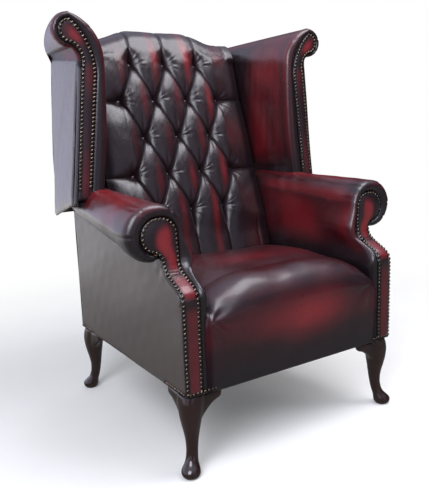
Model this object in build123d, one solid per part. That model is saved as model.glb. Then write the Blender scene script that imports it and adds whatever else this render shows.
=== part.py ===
from build123d import *
import math
import os

# A high-backed wing armchair in button-tufted leather, on four cabriole legs.
# Millimetres. x runs across the chair, z is up, and the chair faces -y.
# Places along y are measured back from the front plane of the arm posts.
# The last step moves everything so that the origin is under the middle of the chair.
# Right is the +x side and left the -x side, as someone in front of the chair sees it.

os.makedirs("parts", exist_ok=True)

# Gaps, skins and cutters
fit = 0.3
skin = 2.5
board = 3
wall = 4
rim_turn_shares = (0, 0.25, 0.5, 0.75, 1)
facing_thick = 4
overrun = 40
beyond = 1600

# The lower body: rails wrapped in leather, a little narrower at the rear
body_bottom = 195
body_half_front = 328
body_half_rear = 309
body_depth = 648
outside_back_top = 1046
outside_back_corner_z = 1018
outside_back_corner_in = 7

# The outside back rises straight from the floor side and leans from the kink up
kink_z = 640
lean_z = 1050
lean_run = 82

# Upper unit at its rear corners, where it stands out over the body
upper_low_z = 560
upper_low_out = 41
upper_high_z = 1000
upper_high_out = 3

# Rails, posts and blocks of the frame
rail_top = 265
rail_thick = 28
rail_inset = 6
side_rail_rise = 2.5
post_front_depth = 42
post_inner_in = 39
post_rear_depth = 47
post_knee_z = 400
post_shoulder_z = 450
post_top_z = 965
stay_bottom = 452
stay_high = 40
stay_in = 126
stay_thick = 25
block_leg = 70
block_top = 240

# Seat
seat_gap = 1
seat_rear_in = 193
seat_nose = 16
seat_edge_nose = 5
seat_nose_z = 372
seat_edge_nose_z = 345
seat_crest_y = 84
seat_crest_z = 441
seat_edge_crest_z = 386
seat_fall_in = 23
seat_fall_z = 401
seat_edge_fall_z = 387
seat_end_drop = 6
seat_wall = 5
seat_face_share = 0.0155
seat_nose_share = 0.2
seat_crown_share = 0.077
seat_edge_crown_share = 0.02
seat_station_shares = (-1, -0.93, -0.75, -0.4, 0, 0.4, 0.75, 0.93, 1)
strap = 2
strap_wide = 50
strap_edge = 36
cross_strap_count = 4
cross_strap_first = 44
cross_strap_last = 15
long_strap_count = 5
cloth = 1

# Tufted back: a flat button plane that leans, with a round crest over the top rail
button_top_z = 972
button_top_in = 26
back_slope = 0.318
row_pitch = 108
button_pitch = 114
back_side_in = 48
back_low = 405
crest_bend_z = 1036
crest_radius = 33
crest_turn = 150
crest_flat_half = 88
crest_fall_half = 214
crest_fall = 32
pillow = 26
valley = 7
edge_height = 6
crest_height = 18
crest_end_height = 17
crest_side_height = 14
crest_pleat = 7
crest_swell = 3
rim_swell = 3
pleat = 5
foam_top = 1000
low_height = 12
low_pleat = 7
foam_gap = 5
back_foam_thick = 39
back_strap = 2
back_strap_wide = 46

# Buttons and their twine
button_radius = 9.5
button_sink = 1.5
button_edge = 2
button_dome = 5
twine_radius = 0.8
twine_room = 0.5
knot_radius = 3
knot_long = 2.5

# Top rail of the back
crest_rail_in = 9
crest_rail_back = 33
crest_rail_thick = 20
crest_rail_end_z = 999
crest_rail_mid_z = 1032

# Arms: a scroll on a slab, from the front scroll back to the rear posts
arm_plane = 80
arm_bulge = 8
arm_rear_in = 48
arm_foot_front_in = 66
arm_foot_rear_in = 47
arm_inner_front_in = 58
arm_inner_rear_in = 43
arm_foot_z = 270.5
arm_far_front_out = 86
arm_far_rear_out = 36
arm_taper_power = 1.6
arm_top_front = 623.5
arm_top_rear = 644
arm_under_front = 498.5
arm_under_rear = 562
arm_tuck_front = 507
arm_tuck_rear = 570
arm_pad = 22
arm_rail_bottom = 577
arm_rail_high = 28
arm_rail_inner_in = 18
arm_rail_wide = 42
arm_rail_rear_out = 21
arm_under_share = 0.25
arm_under_bow_share = 0.18
arm_station_shares = (0, 0.3, 0.62, 1)
scroll_board = 22
arm_round = 14

# Arm facing: stud rows at its two edges, then an oval round the scroll
facing_wide = 44
facing_neck_z = 505
oval_z = 557
oval_inner_in = 16
oval_outer_in = 30
oval_high = 40
facing_neck_out = 2
curl_out = 17
curl_share = -0.15
back_arch_share = 0.03
shoulder_low_z = 428
shoulder_mid_y = 20
shoulder_mid_z = 441
shoulder_up_y = 60
shoulder_up_z = 462
shoulder_top_z = 492
border_bulge = 6

# Wings: a scroll on top of a tall slab, from the front facing back to the posts
wing_depth = 268
wing_bulge = 8
wing_beyond = 30
wing_foot_z = 622
wing_panel_front_z = 628
wing_round = 8
wing_seam = 14
wing_pad = 24
wing_rail_bottom = 905
wing_rail_high = 24
wing_rail_wide = 24
wing_rail_front_out = 28
wing_rail_rear_in = 22
wing_peg_out = 16
wing_peg_wide = 10
wing_mid_front_out = 33
wing_mid_rear_in = 9
wing_rear_roll_share = 0.1
wing_station_shares = (0, 0.15, 0.4, 0.7, 1)

# Wing outline at the front facing and far back: how far each turning point lies outside
# or inside the body's own side there, and its height
wing_low_z = 540
wing_front_foot_out = 25
wing_front_neck_in = 18
wing_front_neck_z = 955
wing_front_roll_out = 69
wing_front_roll_z = 1030
wing_front_roll_radius = 43
wing_front_under_z = 987
wing_front_notch_out = 54
wing_front_notch_z = 955
wing_front_base_out = 99
wing_rear_foot_in = 44.5
wing_rear_neck_z = 1018
wing_rear_roll_in = 12
wing_rear_roll_z = 1027
wing_rear_roll_radius = 19
wing_rear_under_out = 6
wing_rear_under_z = 1010
wing_rear_notch_z = 1000
wing_taper_power = 1.3
wing_inner_front_share = 0.03
wing_inner_rear_share = 0.004
wing_shoulder_share = 0.18
wing_notch_share = -0.12
wing_side_share = -0.004
roll_share = 0.207

# Wing facing: its outline between the stud rows, and the disc in the scroll
wing_facing_inner_foot_out = 41
wing_facing_outer_foot_out = 77
wing_facing_inner_neck_out = 10
wing_facing_inner_neck_z = 900
wing_facing_outer_neck_out = 46
wing_facing_outer_neck_z = 940
wing_disc_z = 1027
wing_disc_radius = 30
wing_disc_share = 0.14
wing_curl_share = -0.2

# Cabriole legs: height, reach out to the corner and radius, as shares
leg_square = 56
leg_inset = 30
leg_rear_inset = 34
leg_foot_out = 28
leg_block_high = 14
leg_block_round = 9
leg_round_shares = (
    (0.000, 1.00, 0.62),
    (0.026, 1.02, 0.76),
    (0.072, 1.00, 0.80),
    (0.118, 0.86, 0.66),
    (0.180, 0.56, 0.49),
    (0.270, 0.34, 0.43),
    (0.430, 0.24, 0.52),
    (0.620, 0.30, 0.72),
    (0.800, 0.32, 0.96),
    (0.930, 0.18, 1.04),
    (1.000, 0.10, 1.02),
)
bracket_long = 60
bracket_high = 50
bracket_end_high = 19
bracket_round = 8
bracket_thick = 22
bracket_set_back = 2
bracket_hollow_share = 0.15
bolt_radius = 4
bolt_low = 150
bolt_long = 85


# Helpers


def blend(first, last, share):
    return first + (last - first) * share


def side_x(y):
    """Half the width of the body at depth y."""
    return blend(body_half_front, body_half_rear, y / body_depth)


# Places that follow the body's sides and depth

lean_y = body_depth + lean_run
post_rear_front = body_depth - post_rear_depth
post_inner_half = body_half_rear - post_inner_in
stay_front = body_depth - stay_in
upper_low_half = body_half_rear + upper_low_out
upper_high_half = body_half_rear + upper_high_out

seat_rear = body_depth - seat_rear_in
seat_fall_y = seat_rear - seat_fall_in
back_half = body_half_rear - back_side_in
button_top_y = body_depth - button_top_in
crest_rail_half = body_half_rear - crest_rail_in
crest_rail_front = body_depth + crest_rail_back

arm_front = arm_plane - arm_bulge
arm_rear = body_depth - arm_rear_in
arm_foot_front = body_half_front - arm_foot_front_in
arm_foot_rear = body_half_rear - arm_foot_rear_in
seat_half_front = arm_foot_front - seat_gap
seat_half_rear = arm_foot_rear - seat_gap
arm_inner_front = body_half_front - arm_inner_front_in
arm_inner_rear = body_half_rear - arm_inner_rear_in
arm_far_front = body_half_front + arm_far_front_out
facing_inner = body_half_front - facing_wide
arm_far_rear = body_half_rear + arm_far_rear_out
arm_rail_inner = body_half_front - arm_rail_inner_in
arm_rail_rear_outer = body_half_rear + arm_rail_rear_out

wing_plane = body_depth - wing_depth
wing_front = wing_plane - wing_bulge
wing_rear = lean_y + wing_beyond
wing_side = side_x(wing_plane)
wing_rail_front_x = wing_side + wing_rail_front_out
wing_rail_rear_x = body_half_rear - wing_rail_rear_in
wing_mid_front_x = wing_side + wing_mid_front_out
wing_mid_rear_x = body_half_rear - wing_mid_rear_in
wing_front_neck_x = wing_side - wing_front_neck_in
wing_front_roll_x = wing_side + wing_front_roll_out
wing_rear_foot_x = body_half_rear - wing_rear_foot_in


def upper_x(z):
    """Half the width of the upper unit along its rear edge at height z."""
    share = (z - upper_low_z) / (upper_high_z - upper_low_z)
    return blend(upper_low_half, upper_high_half, share)


def rear_y(z):
    """Depth of the outside back at height z."""
    lean = (lean_y - body_depth) / (lean_z - kink_z)
    return body_depth + max(z - kink_z, 0) * lean


def box(x_from, x_to, y_from, y_to, z_from, z_to):
    corner = Plane((x_from, y_from, z_from))
    return Solid.make_box(x_to - x_from, y_to - y_from, z_to - z_from, corner)


def prism_x(points, x_from, x_to):
    """A prism along x from an outline of (y, z) points."""
    face = Face(Wire.make_polygon([(x_from, y, z) for y, z in points]))
    return Solid.extrude(face, Vector(x_to - x_from, 0, 0))


def prism_y(points, y_from, y_to):
    """A prism along y from an outline of (x, z) points."""
    face = Face(Wire.make_polygon([(x, y_from, z) for x, z in points]))
    return Solid.extrude(face, Vector(0, y_to - y_from, 0))


def prism_z(points, z_from, z_to):
    """A prism along z from an outline of (x, y) points."""
    face = Face(Wire.make_polygon([(x, y, z_from) for x, y in points]))
    return Solid.extrude(face, Vector(0, 0, z_to - z_from))


def bow(start, end, share):
    """The middle point of an arc that swells to the left of start to end."""
    dx = end[0] - start[0]
    dz = end[1] - start[1]
    return ((start[0] + end[0]) / 2 - dz * share, (start[1] + end[1]) / 2 + dx * share)


def outline(corners, shares, place):
    """A closed outline: corners in order, the swell of each side, and where a corner lies."""
    edges = []
    for i, share in enumerate(shares):
        start = corners[i]
        end = corners[(i + 1) % len(corners)]
        path = [start, bow(start, end, share), end] if share else [start, end]
        path = [place(corner) for corner in path]
        edges.append(ThreePointArc(*path) if share else Line(*path))
    return Wire(edges)


def across_x(x):
    return lambda corner: (x, corner[0], corner[1])


def across_y(y):
    return lambda corner: (corner[0], y, corner[1])


def biggest(shape):
    """The one real solid of a cut, without slivers."""
    return max(shape.solids(), key=lambda solid: solid.volume)


def rounded_body(section, front, radius, rear, station_shares):
    """A lofted body with a rounded front rim, made as two lofts that meet in one ring."""
    seam = front + radius
    rings = []
    for share in rim_turn_shares:
        turn = math.pi / 2 * share
        rings.append(section(seam - radius * math.cos(turn), radius * (1 - math.sin(turn))))
    stations = [section(blend(seam, rear + overrun, share), 0) for share in station_shares]
    return Solid.make_loft(rings).fuse(Solid.make_loft(stations))


def trimmed(shape, y_from, y_to, low):
    """What is left of a shape above a height and between two depths."""
    return biggest(shape.intersect(box(-beyond, beyond, y_from, y_to, low, beyond)))


y_front = -seat_nose
y_back = rear_y(outside_back_top)
y_shift = -(y_front + y_back) / 2


def save(name, *shapes):
    """Write one sub-part, with the origin moved under the middle of the chair."""
    solids = [solid for shape in shapes for solid in shape.solids()]
    moved = [solid.moved(Location((0, y_shift, 0))) for solid in solids]
    export_step(moved[0] if len(moved) == 1 else Compound(children=moved), f"parts/{name}.step")


def save_pair(name, shape):
    save(f"right_{name}", shape)
    save(f"left_{name}", *[solid.mirror(Plane.YZ) for solid in shape.solids()])


# The leaning plane of the back

back_angle = math.atan(back_slope)
back_out = Vector(0, -math.cos(back_angle), math.sin(back_angle))
foam_rear = -(foam_gap + fit + back_foam_thick)
strap_face = foam_rear - fit
strap_rear = strap_face - back_strap
post_face = strap_rear - fit


def plane_y(z):
    return button_top_y - (button_top_z - z) * back_slope


def lean_point(rise, height):
    """The (y, z) of a point that stands height out from the button plane."""
    y = plane_y(rise) - height * math.cos(back_angle)
    return (y, rise + height * math.sin(back_angle))


def level_point(z, height):
    """The (y, z) at a true height on the plane that stands height out."""
    return (plane_y(z) - height / math.cos(back_angle), z)


def lean_slab(low, high, near, far, x_from, x_to):
    """A slab parallel to the button plane, between two heights out from it."""
    corners = (
        lean_point(low, near),
        lean_point(high, near),
        lean_point(high, far),
        lean_point(low, far),
    )
    return prism_x(corners, x_from, x_to)


def behind_foam(reach):
    """What lies behind the foam of the back, out to a half width."""
    return lean_slab(body_bottom, lean_z, foam_rear + fit, -beyond, -reach, reach)


def behind_skin(gap):
    """What lies behind the outside back's front face, less a gap."""
    front = skin + gap
    corners = (
        (body_depth - front, -overrun),
        (body_depth - front, kink_z),
        (lean_y - front, lean_z),
        (lean_y - front, beyond),
        (beyond, beyond),
        (beyond, -overrun),
    )
    return prism_x(corners, -beyond, beyond)


inner_skin = skin + board + fit + fit
post_outer = min(side_x(post_rear_front), side_x(body_depth)) - inner_skin
panel_bottom = body_bottom
frame_bottom = body_bottom + fit


# Frame


def frame_x(y):
    """Outer face of the side rails and posts at depth y."""
    return side_x(y) - inner_skin


post_front_face = facing_thick + fit
post_side = arm_inner_front + wall
post_front_rear = post_front_face + post_front_depth
rear_rail_front = post_rear_front + facing_thick
front_rail_rear = rail_inset + rail_thick


def front_rail():
    return box(-post_side, post_side, rail_inset, front_rail_rear, frame_bottom, rail_top)


def rear_rail():
    reach = post_inner_half - fit
    return box(-reach, reach, rear_rail_front, rear_rail_front + rail_thick, frame_bottom, rail_top)


def side_rail():
    y_from = post_front_rear + fit
    y_to = post_rear_front - fit
    corners = (
        (frame_x(y_from), y_from),
        (frame_x(y_to), y_to),
        (frame_x(y_to) - rail_thick, y_to),
        (frame_x(y_from) - rail_thick, y_from),
    )
    return prism_z(corners, frame_bottom, rail_top + side_rail_rise)


def back_post():
    """A post that is upright at the seat and leans with the back above it."""
    rear = inner_skin
    corners = (
        (post_rear_front, frame_bottom),
        (post_rear_front, post_knee_z),
        level_point(post_shoulder_z, post_face),
        level_point(post_top_z, post_face),
        (rear_y(post_top_z) - rear, post_top_z),
        (body_depth - rear, kink_z),
        (body_depth - rear, frame_bottom),
    )
    post = prism_x(corners, post_inner_half, post_outer)
    return biggest(post - bolt(rear_leg_place(), fit))


def stay_rail():
    reach = post_inner_half - fit
    return box(-reach, reach, stay_front, stay_front + stay_thick, stay_bottom, stay_bottom + stay_high)


def crest_rail(grow):
    """The top rail, an arch that stands on the two posts."""
    reach = crest_rail_half + grow
    top = crest_rail_end_z + grow
    low = post_top_z + fit - grow
    y_from = crest_rail_front - grow
    middle = (0, y_from, crest_rail_mid_z + grow)
    edges = (
        Line((-reach, y_from, low), (reach, y_from, low)),
        Line((reach, y_from, low), (reach, y_from, top)),
        ThreePointArc((reach, y_from, top), middle, (-reach, y_from, top)),
        Line((-reach, y_from, top), (-reach, y_from, low)),
    )
    return Solid.extrude(Face(Wire(edges)), Vector(0, crest_rail_thick + grow + grow, 0))


def corner_blocks():
    """Four blocks in the corners of the rails, each cut round its post."""
    front_x = frame_x(post_front_rear + block_leg) - rail_thick - fit
    front = (
        (post_side - block_leg, front_rail_rear + fit),
        (post_side, front_rail_rear + fit),
        (post_side, post_front_rear + fit),
        (front_x, post_front_rear + fit),
        (front_x, post_front_rear + block_leg),
    )
    rear_x = frame_x(post_rear_front) - rail_thick - fit
    rear_side = post_inner_half - fit
    rear = (
        (rear_side - block_leg, rear_rail_front - fit),
        (rear_side, rear_rail_front - fit),
        (rear_side, post_rear_front - fit),
        (rear_x, post_rear_front - fit),
        (rear_x, post_rear_front - block_leg),
    )
    blocks = [prism_z(corners, frame_bottom, block_top) for corners in (front, rear)]
    return blocks + [block.mirror(Plane.YZ) for block in blocks]


# Legs


def front_leg_place():
    return (body_half_front - leg_inset, leg_inset)


def rear_leg_place():
    y = body_depth - leg_rear_inset
    return (side_x(y) - leg_inset, y)


def bolt(place, grow):
    return Solid.make_cylinder(bolt_radius + grow, bolt_long + grow, Plane((*place, bolt_low)))


def leg(place, forward):
    """A cabriole leg whose foot points out to its corner; forward is -1 or 1 along y."""
    out = leg_foot_out / math.sqrt(2)
    rings = []
    for high, reach, radius in leg_round_shares:
        centre = (place[0] + out * reach, place[1] + out * reach * forward, body_bottom * high)
        rings.append(Wire.make_circle(leg_square / 2 * radius, Plane(centre)))
    turned = Solid.make_loft(rings)
    half = leg_square / 2
    top = box(
        place[0] - half,
        place[0] + half,
        place[1] - half,
        place[1] + half,
        body_bottom - leg_block_high,
        body_bottom,
    )
    top = top.fillet(leg_block_round, top.edges().filter_by(Axis.Z))
    return biggest(turned.fuse(top) - bolt(place, fit))


def bracket(corner, along, inward):
    """A knee bracket: tall at the leg, a hollow curve, and a rounded end under the rail."""
    turn = bracket_long - bracket_round
    start = (0, body_bottom - bracket_high)
    lip = (turn, body_bottom - bracket_end_high)
    end = (bracket_long, body_bottom - bracket_end_high + bracket_round)
    eighth = bracket_round * math.sqrt(0.5)
    corner_bend = (turn + eighth, end[1] - eighth)

    def at(point):
        return Vector(*corner, point[1]) + along * point[0]

    edges = (
        Line(at((0, body_bottom)), at((bracket_long, body_bottom))),
        Line(at((bracket_long, body_bottom)), at(end)),
        ThreePointArc(at(end), at(corner_bend), at(lip)),
        ThreePointArc(at(lip), at(bow(start, lip, bracket_hollow_share)), at(start)),
        Line(at(start), at((0, body_bottom))),
    )
    return Solid.extrude(Face(Wire(edges)), inward * bracket_thick)


def brackets():
    """Two brackets beside each leg, one under each rail."""
    made = []
    reach = leg_square / 2
    face = reach - bracket_set_back
    for place, forward in ((front_leg_place(), -1), (rear_leg_place(), 1)):
        across = (place[0] - reach, place[1] + forward * face)
        made.append(bracket(across, Vector(-1, 0, 0), Vector(0, -forward, 0)))
        beside = (place[0] + face, place[1] - forward * reach)
        made.append(bracket(beside, Vector(0, -forward, 0), Vector(-1, 0, 0)))
    return made + [piece.mirror(Plane.YZ) for piece in made]


# Seat


def seat_section(share, inset, low):
    """Side outline of the seat at a share of its half width."""
    crown = 1 - share ** 4
    nose = blend(seat_edge_nose, seat_nose, crown) - inset
    crest = blend(seat_edge_crest_z, seat_crest_z, crown) - inset
    fall = blend(seat_edge_fall_z, seat_fall_z, crown) - inset
    rear = seat_rear - inset
    corners = (
        (inset - seat_edge_nose, low),
        (-nose, blend(seat_edge_nose_z, seat_nose_z, crown)),
        (seat_crest_y, crest),
        (seat_fall_y, fall),
        (rear, fall - seat_end_drop),
        (rear, low),
    )
    crown_share = blend(seat_edge_crown_share, seat_crown_share, crown)
    shares = (seat_face_share, seat_nose_share, crown_share, 0, 0, 0)
    half = max(seat_half_front, seat_half_rear) - inset
    return outline(corners, shares, across_x(half * share))


def seat_plan(inset, y_from, y_to):
    """Plan of the seat between the arms, less an inset, as (x, y) corners."""
    front = seat_half_front - inset
    share = (y_to - arm_front) / (arm_rear - arm_front)
    rear = blend(seat_half_front, seat_half_rear, share) - inset
    right = [(front, y_from), (front, arm_front), (rear, y_to)]
    return right + [(-x, y) for x, y in reversed(right)]


def seat_body(inset, low):
    """The crowned block of the seat, cut to its plan."""
    block = Solid.make_loft([seat_section(share, inset, low) for share in seat_station_shares])
    plan = seat_plan(inset, -overrun, seat_rear + overrun)
    return biggest(block.intersect(prism_z(plan, low - overrun, seat_crest_z + overrun)))


strap_z = rail_top + fit
cross_strap_z = rail_top + side_rail_rise + fit
hessian_z = cross_strap_z + strap + fit
seat_foam_z = hessian_z + cloth + fit


def seat_cover():
    """Leather over the foam: the front wall reaches down over the front rail."""
    shell = seat_body(0, body_bottom) - seat_body(seat_wall, body_bottom - overrun)
    hollow = box(
        -beyond,
        beyond,
        rail_inset - fit,
        seat_rear + overrun,
        body_bottom - overrun,
        seat_foam_z,
    )
    return biggest(shell - hollow)


def seat_foam():
    return biggest(seat_body(seat_wall + fit, seat_foam_z))


def spread(low, high, count):
    """Low sides of straps spread evenly between two places."""
    return [blend(low, high - strap_wide, i / (count - 1)) for i in range(count)]


def seat_webbing():
    """Long straps over the front and rear rails, and cross straps over the side rails."""
    straps = []
    edge = min(seat_half_front, seat_half_rear) - strap_edge
    for x in spread(-edge, edge, long_strap_count):
        y_to = rear_rail_front + rail_thick - rail_inset
        straps.append(box(x, x + strap_wide, rail_inset + fit, y_to, strap_z, strap_z + strap))
    y_from = post_front_rear + cross_strap_first
    for y in spread(y_from, seat_rear - cross_strap_last, cross_strap_count):
        reach = min(frame_x(y), frame_x(y + strap_wide)) - fit
        straps.append(box(-reach, reach, y, y + strap_wide, cross_strap_z, cross_strap_z + strap))
    return straps


def seat_hessian():
    plan = seat_plan(seat_wall + fit, rail_inset, seat_rear - seat_wall - fit)
    return prism_z(plan, hessian_z, hessian_z + cloth)


def dust_cover():
    """Thin black cloth under the rails, cut away at the legs."""
    front = bracket_thick + bracket_set_back + rail_inset
    rear = body_depth - front
    notch = leg_inset + leg_square - rail_inset
    front_half = side_x(front + notch) - front
    rear_half = side_x(rear - notch) - front
    corners = [
        (front_half - notch, front),
        (front_half - notch, front + notch),
        (front_half, front + notch),
        (rear_half, rear - notch),
        (rear_half - notch, rear - notch),
        (rear_half - notch, rear),
    ]
    corners += [(-x, y) for x, y in reversed(corners)]
    return prism_z(corners, body_bottom - cloth, body_bottom)


# Tufted back
# Spots are (column, row) pairs: columns are half a button pitch apart and rows one row
# pitch, with row 0 the top row of buttons. The rim columns lie at the sides.

half_pitch = button_pitch / 2
rim = 4
bend_row = -1
end_row = -2
low_row = 5


def spot_x(column):
    return math.copysign(back_half, column) if abs(column) == rim else column * half_pitch


def spot_run(row):
    """How far up the back a row lies; past the bend it goes on over the crest."""
    if row == end_row:
        return crest_bend_z + crest_radius * math.radians(crest_turn)
    if row == bend_row:
        return crest_bend_z
    if row == low_row:
        return back_low
    return button_top_z - row * row_pitch


def is_button(column, row):
    inside = abs(column) < rim and bend_row < row < low_row
    return inside and (column + row) % 2 == 0


def spot_height(column, row):
    """How far the tufted face stands out from the button plane at a spot."""
    pleated = column % 2 == 0
    if row == end_row:
        return crest_end_height
    if row == bend_row:
        if abs(column) == rim:
            return crest_side_height
        return crest_height - (crest_pleat if pleated else 0)
    if abs(column) == rim:
        return edge_height
    if row == low_row:
        return low_height - (low_pleat if pleated else 0)
    return 0 if is_button(column, row) else pillow


def crest_drop(x):
    """How far the crest lies below its middle: a soft step between two half widths."""
    reach = (abs(x) - crest_flat_half) / (crest_fall_half - crest_flat_half)
    reach = min(max(reach, 0), 1)
    return crest_fall * reach * reach * (3 - 2 * reach)


def back_point(x, run, height):
    """A point of the tufted face, out from the leaning plane and then round the crest."""
    rise = min(run, crest_bend_z)
    above = max(rise - button_top_z, 0) / (crest_bend_z - button_top_z)
    rise -= crest_drop(x) * above
    angle = back_angle + max(run - crest_bend_z, 0) / crest_radius
    centre_y, centre_z = lean_point(rise, -crest_radius)
    reach = crest_radius + height
    return Vector(x, centre_y - reach * math.cos(angle), centre_z + reach * math.sin(angle))


def side_rise(start, end):
    """How far the face swells half way between two neighbouring spots."""
    columns = (start[0], end[0])
    rows = (start[1], end[1])
    if is_button(*start) and is_button(*end):
        return valley
    if min(rows) == end_row:
        return 0 if rows[0] == rows[1] else crest_swell
    if rows[0] == rows[1] and rows[0] in (bend_row, low_row):
        return crest_swell
    if abs(columns[0]) == rim and abs(columns[1]) == rim:
        return rim_swell
    if rim in (abs(columns[0]), abs(columns[1])):
        seam = rows[0] % 2 == 1
        return pleat if seam else pillow - edge_height / 2
    if columns[0] % 2 == 0:
        return pleat
    return pillow - (spot_height(*start) + spot_height(*end)) / 2


def side_height(start, end, share):
    level = blend(spot_height(*start), spot_height(*end), share)
    return level + side_rise(start, end) * math.sin(math.pi * share)


def cell_point(spots, across, along):
    """A point of one tuft: its four sides blended, and swollen to its full height."""
    a, b, c, d = spots
    x = blend(
        blend(spot_x(a[0]), spot_x(b[0]), across),
        blend(spot_x(d[0]), spot_x(c[0]), across),
        along,
    )
    run = blend(
        blend(spot_run(a[1]), spot_run(b[1]), across),
        blend(spot_run(d[1]), spot_run(c[1]), across),
        along,
    )

    def level(u, v):
        low = blend(spot_height(*a), spot_height(*b), u)
        high = blend(spot_height(*d), spot_height(*c), u)
        sides = blend(side_height(a, b, u), side_height(d, c, u), v)
        ends = blend(side_height(a, d, v), side_height(b, c, v), u)
        return sides + ends - blend(low, high, v)

    crest = min(c[1], d[1]) == end_row
    full = crest_height + crest_swell if crest else pillow
    swell = (full - level(0.5, 0.5)) * math.sin(math.pi * across) * math.sin(math.pi * along)
    return back_point(x, run, level(across, along) + swell)


def through(points):
    """Control points of the cubic curve that passes through four evenly spaced points."""
    p, q, r, s = points
    return [
        p,
        p * (-5 / 6) + q * 3 + r * (-3 / 2) + s * (1 / 3),
        p * (1 / 3) + q * (-3 / 2) + r * 3 + s * (-5 / 6),
        s,
    ]


def cell_face(spots):
    """The curved face of one tuft, from sixteen of its points."""
    thirds = (0, 1 / 3, 2 / 3, 1)
    rows = [through([cell_point(spots, u, v) for u in thirds]) for v in thirds]
    columns = [through(list(column)) for column in zip(*rows)]
    return Face.make_bezier_surface(columns)


def side_edge(start, end):
    """The curve along one side of a tuft."""
    thirds = (0, 1 / 3, 2 / 3, 1)
    points = []
    for share in thirds:
        x = blend(spot_x(start[0]), spot_x(end[0]), share)
        run = blend(spot_run(start[1]), spot_run(end[1]), share)
        points.append(back_point(x, run, side_height(start, end, share)))
    return Edge.make_bezier(*through(points))


def tuft_cells():
    """Spots of every tuft: diamonds, then the cells round them."""
    cells = []
    for row in range(3):
        for column in (-2, 0, 2) if row % 2 == 0 else (-1, 1):
            beside = ((column + 1, row + 1), (column - 1, row + 1))
            cells.append(((column, row + 2), beside[0], (column, row), beside[1]))
    for side in (-1, 1):
        for inner in (0, 2 * side):
            cells.append(((side, 1), (inner, 0), (inner, bend_row), (side, bend_row)))
            cells.append(((side, 3), (inner, 4), (inner, low_row), (side, low_row)))
        two, three, four = 2 * side, 3 * side, rim * side
        cells.append(((two, 0), (four, 0), (four, bend_row), (two, bend_row)))
        cells.append(((two, 4), (four, 4), (four, low_row), (two, low_row)))
        for seam, open_row in ((1, 0), (1, 2), (3, 2), (3, 4)):
            cells.append(((three, seam), (four, seam), (four, open_row), (two, open_row)))
    crest = (-rim, -2, -1, 0, 1, 2, rim)
    for left, right in zip(crest, crest[1:]):
        cells.append(((left, bend_row), (right, bend_row), (right, end_row), (left, end_row)))
    return cells


def tufted_body():
    """The closed body behind the tufted face: flat sides, foot and rear."""
    faces = [cell_face(spots) for spots in tuft_cells()]
    turn = math.radians(crest_turn)
    rear = (crest_radius + crest_end_height) * math.cos(turn) - crest_radius
    foot = [Vector(side * back_half, *lean_point(back_low, rear)) for side in (-1, 1)]
    crest = (-rim, -2, -1, 0, 1, 2, rim)
    top_edges = [side_edge((a, end_row), (b, end_row)) for a, b in zip(crest, crest[1:])]
    low_edges = [side_edge((a, low_row), (b, low_row)) for a, b in zip(crest, crest[1:])]
    ends = []
    for side, corner in ((-1, foot[0]), (1, foot[1])):
        rows = range(low_row, end_row, -1)
        rim_edges = [side_edge((rim * side, row), (rim * side, row - 1)) for row in rows]
        down = Line(rim_edges[-1] @ 1, corner)
        back = Line(corner, rim_edges[0] @ 0)
        faces.append(Face(Wire([*rim_edges, down, back])))
        ends.append((down, back))
    across = Line(foot[0], foot[1])
    faces.append(Face(Wire([*top_edges, ends[0][0], ends[1][0], across])))
    faces.append(Face(Wire([*low_edges, ends[0][1], ends[1][1], across])))
    return Solid(Shell(faces))


def button_spots():
    rows = range(0, low_row)
    return [(c, r) for r in rows for c in range(1 - rim, rim) if is_button(c, r)]


def button_plane(spot, height):
    """A plane at a button, facing out of the back."""
    y, z = lean_point(spot_run(spot[1]), height)
    return Plane((spot_x(spot[0]), y, z), x_dir=(1, 0, 0), z_dir=back_out)


def round_holes(radius, near, far):
    """Round cutters on every button's axis, between two heights out from the plane."""
    planes = [button_plane(spot, near) for spot in button_spots()]
    return [Solid.make_cylinder(radius, far - near, plane) for plane in planes]


def back_cover():
    """Tufted leather and its wadding, hollow behind for the foam."""
    inner = back_half - wall
    top = foam_top + fit
    foam_room = lean_slab(back_low + wall, top, -beyond, -foam_gap, -inner, inner)
    open_rear = lean_slab(back_low - overrun, top, -beyond, foam_rear + fit, -beyond, beyond)
    body = tufted_body() - foam_room - open_rear - crest_rail(fit)
    pockets = round_holes(button_radius + fit, -button_sink, pillow + overrun)
    holes = round_holes(twine_radius + twine_room, -foam_gap - overrun, pillow)
    return biggest(body - pockets - holes)


def back_foam():
    inner = back_half - wall - fit
    slab = lean_slab(back_low + wall + fit, foam_top, foam_rear, -foam_gap - fit, -inner, inner)
    return biggest(slab - round_holes(twine_radius + twine_room, foam_rear - overrun, overrun))


def back_webbing():
    """One strap across the posts behind each row of buttons."""
    straps = []
    holes = round_holes(twine_radius + twine_room, strap_rear - overrun, overrun)
    for row in range(low_row):
        low = spot_run(row) - back_strap_wide / 2
        reach = post_outer - fit
        strap_now = lean_slab(low, low + back_strap_wide, strap_rear, strap_face, -reach, reach)
        straps.append(biggest(strap_now - holes))
    return straps


def back_buttons():
    """Covered buttons that sit in the tufts: a flat base, a short edge and a dome."""
    profile_z = (fit, fit + button_edge, fit + button_edge + button_dome)
    ball = (button_radius ** 2 + button_dome ** 2) / (2 * button_dome)
    half_way = math.asin(button_radius / ball) / 2
    ball_z = profile_z[2] - ball
    edges = (
        Line((0, 0, profile_z[0]), (button_radius, 0, profile_z[0])),
        Line((button_radius, 0, profile_z[0]), (button_radius, 0, profile_z[1])),
        ThreePointArc(
            (button_radius, 0, profile_z[1]),
            (ball * math.sin(half_way), 0, ball_z + ball * math.cos(half_way)),
            (0, 0, profile_z[2]),
        ),
        Line((0, 0, profile_z[2]), (0, 0, profile_z[0])),
    )
    button = Solid.revolve(Face(Wire(edges)), 360, Axis.Z)
    return [button_plane(spot, -button_sink).location * button for spot in button_spots()]


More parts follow.
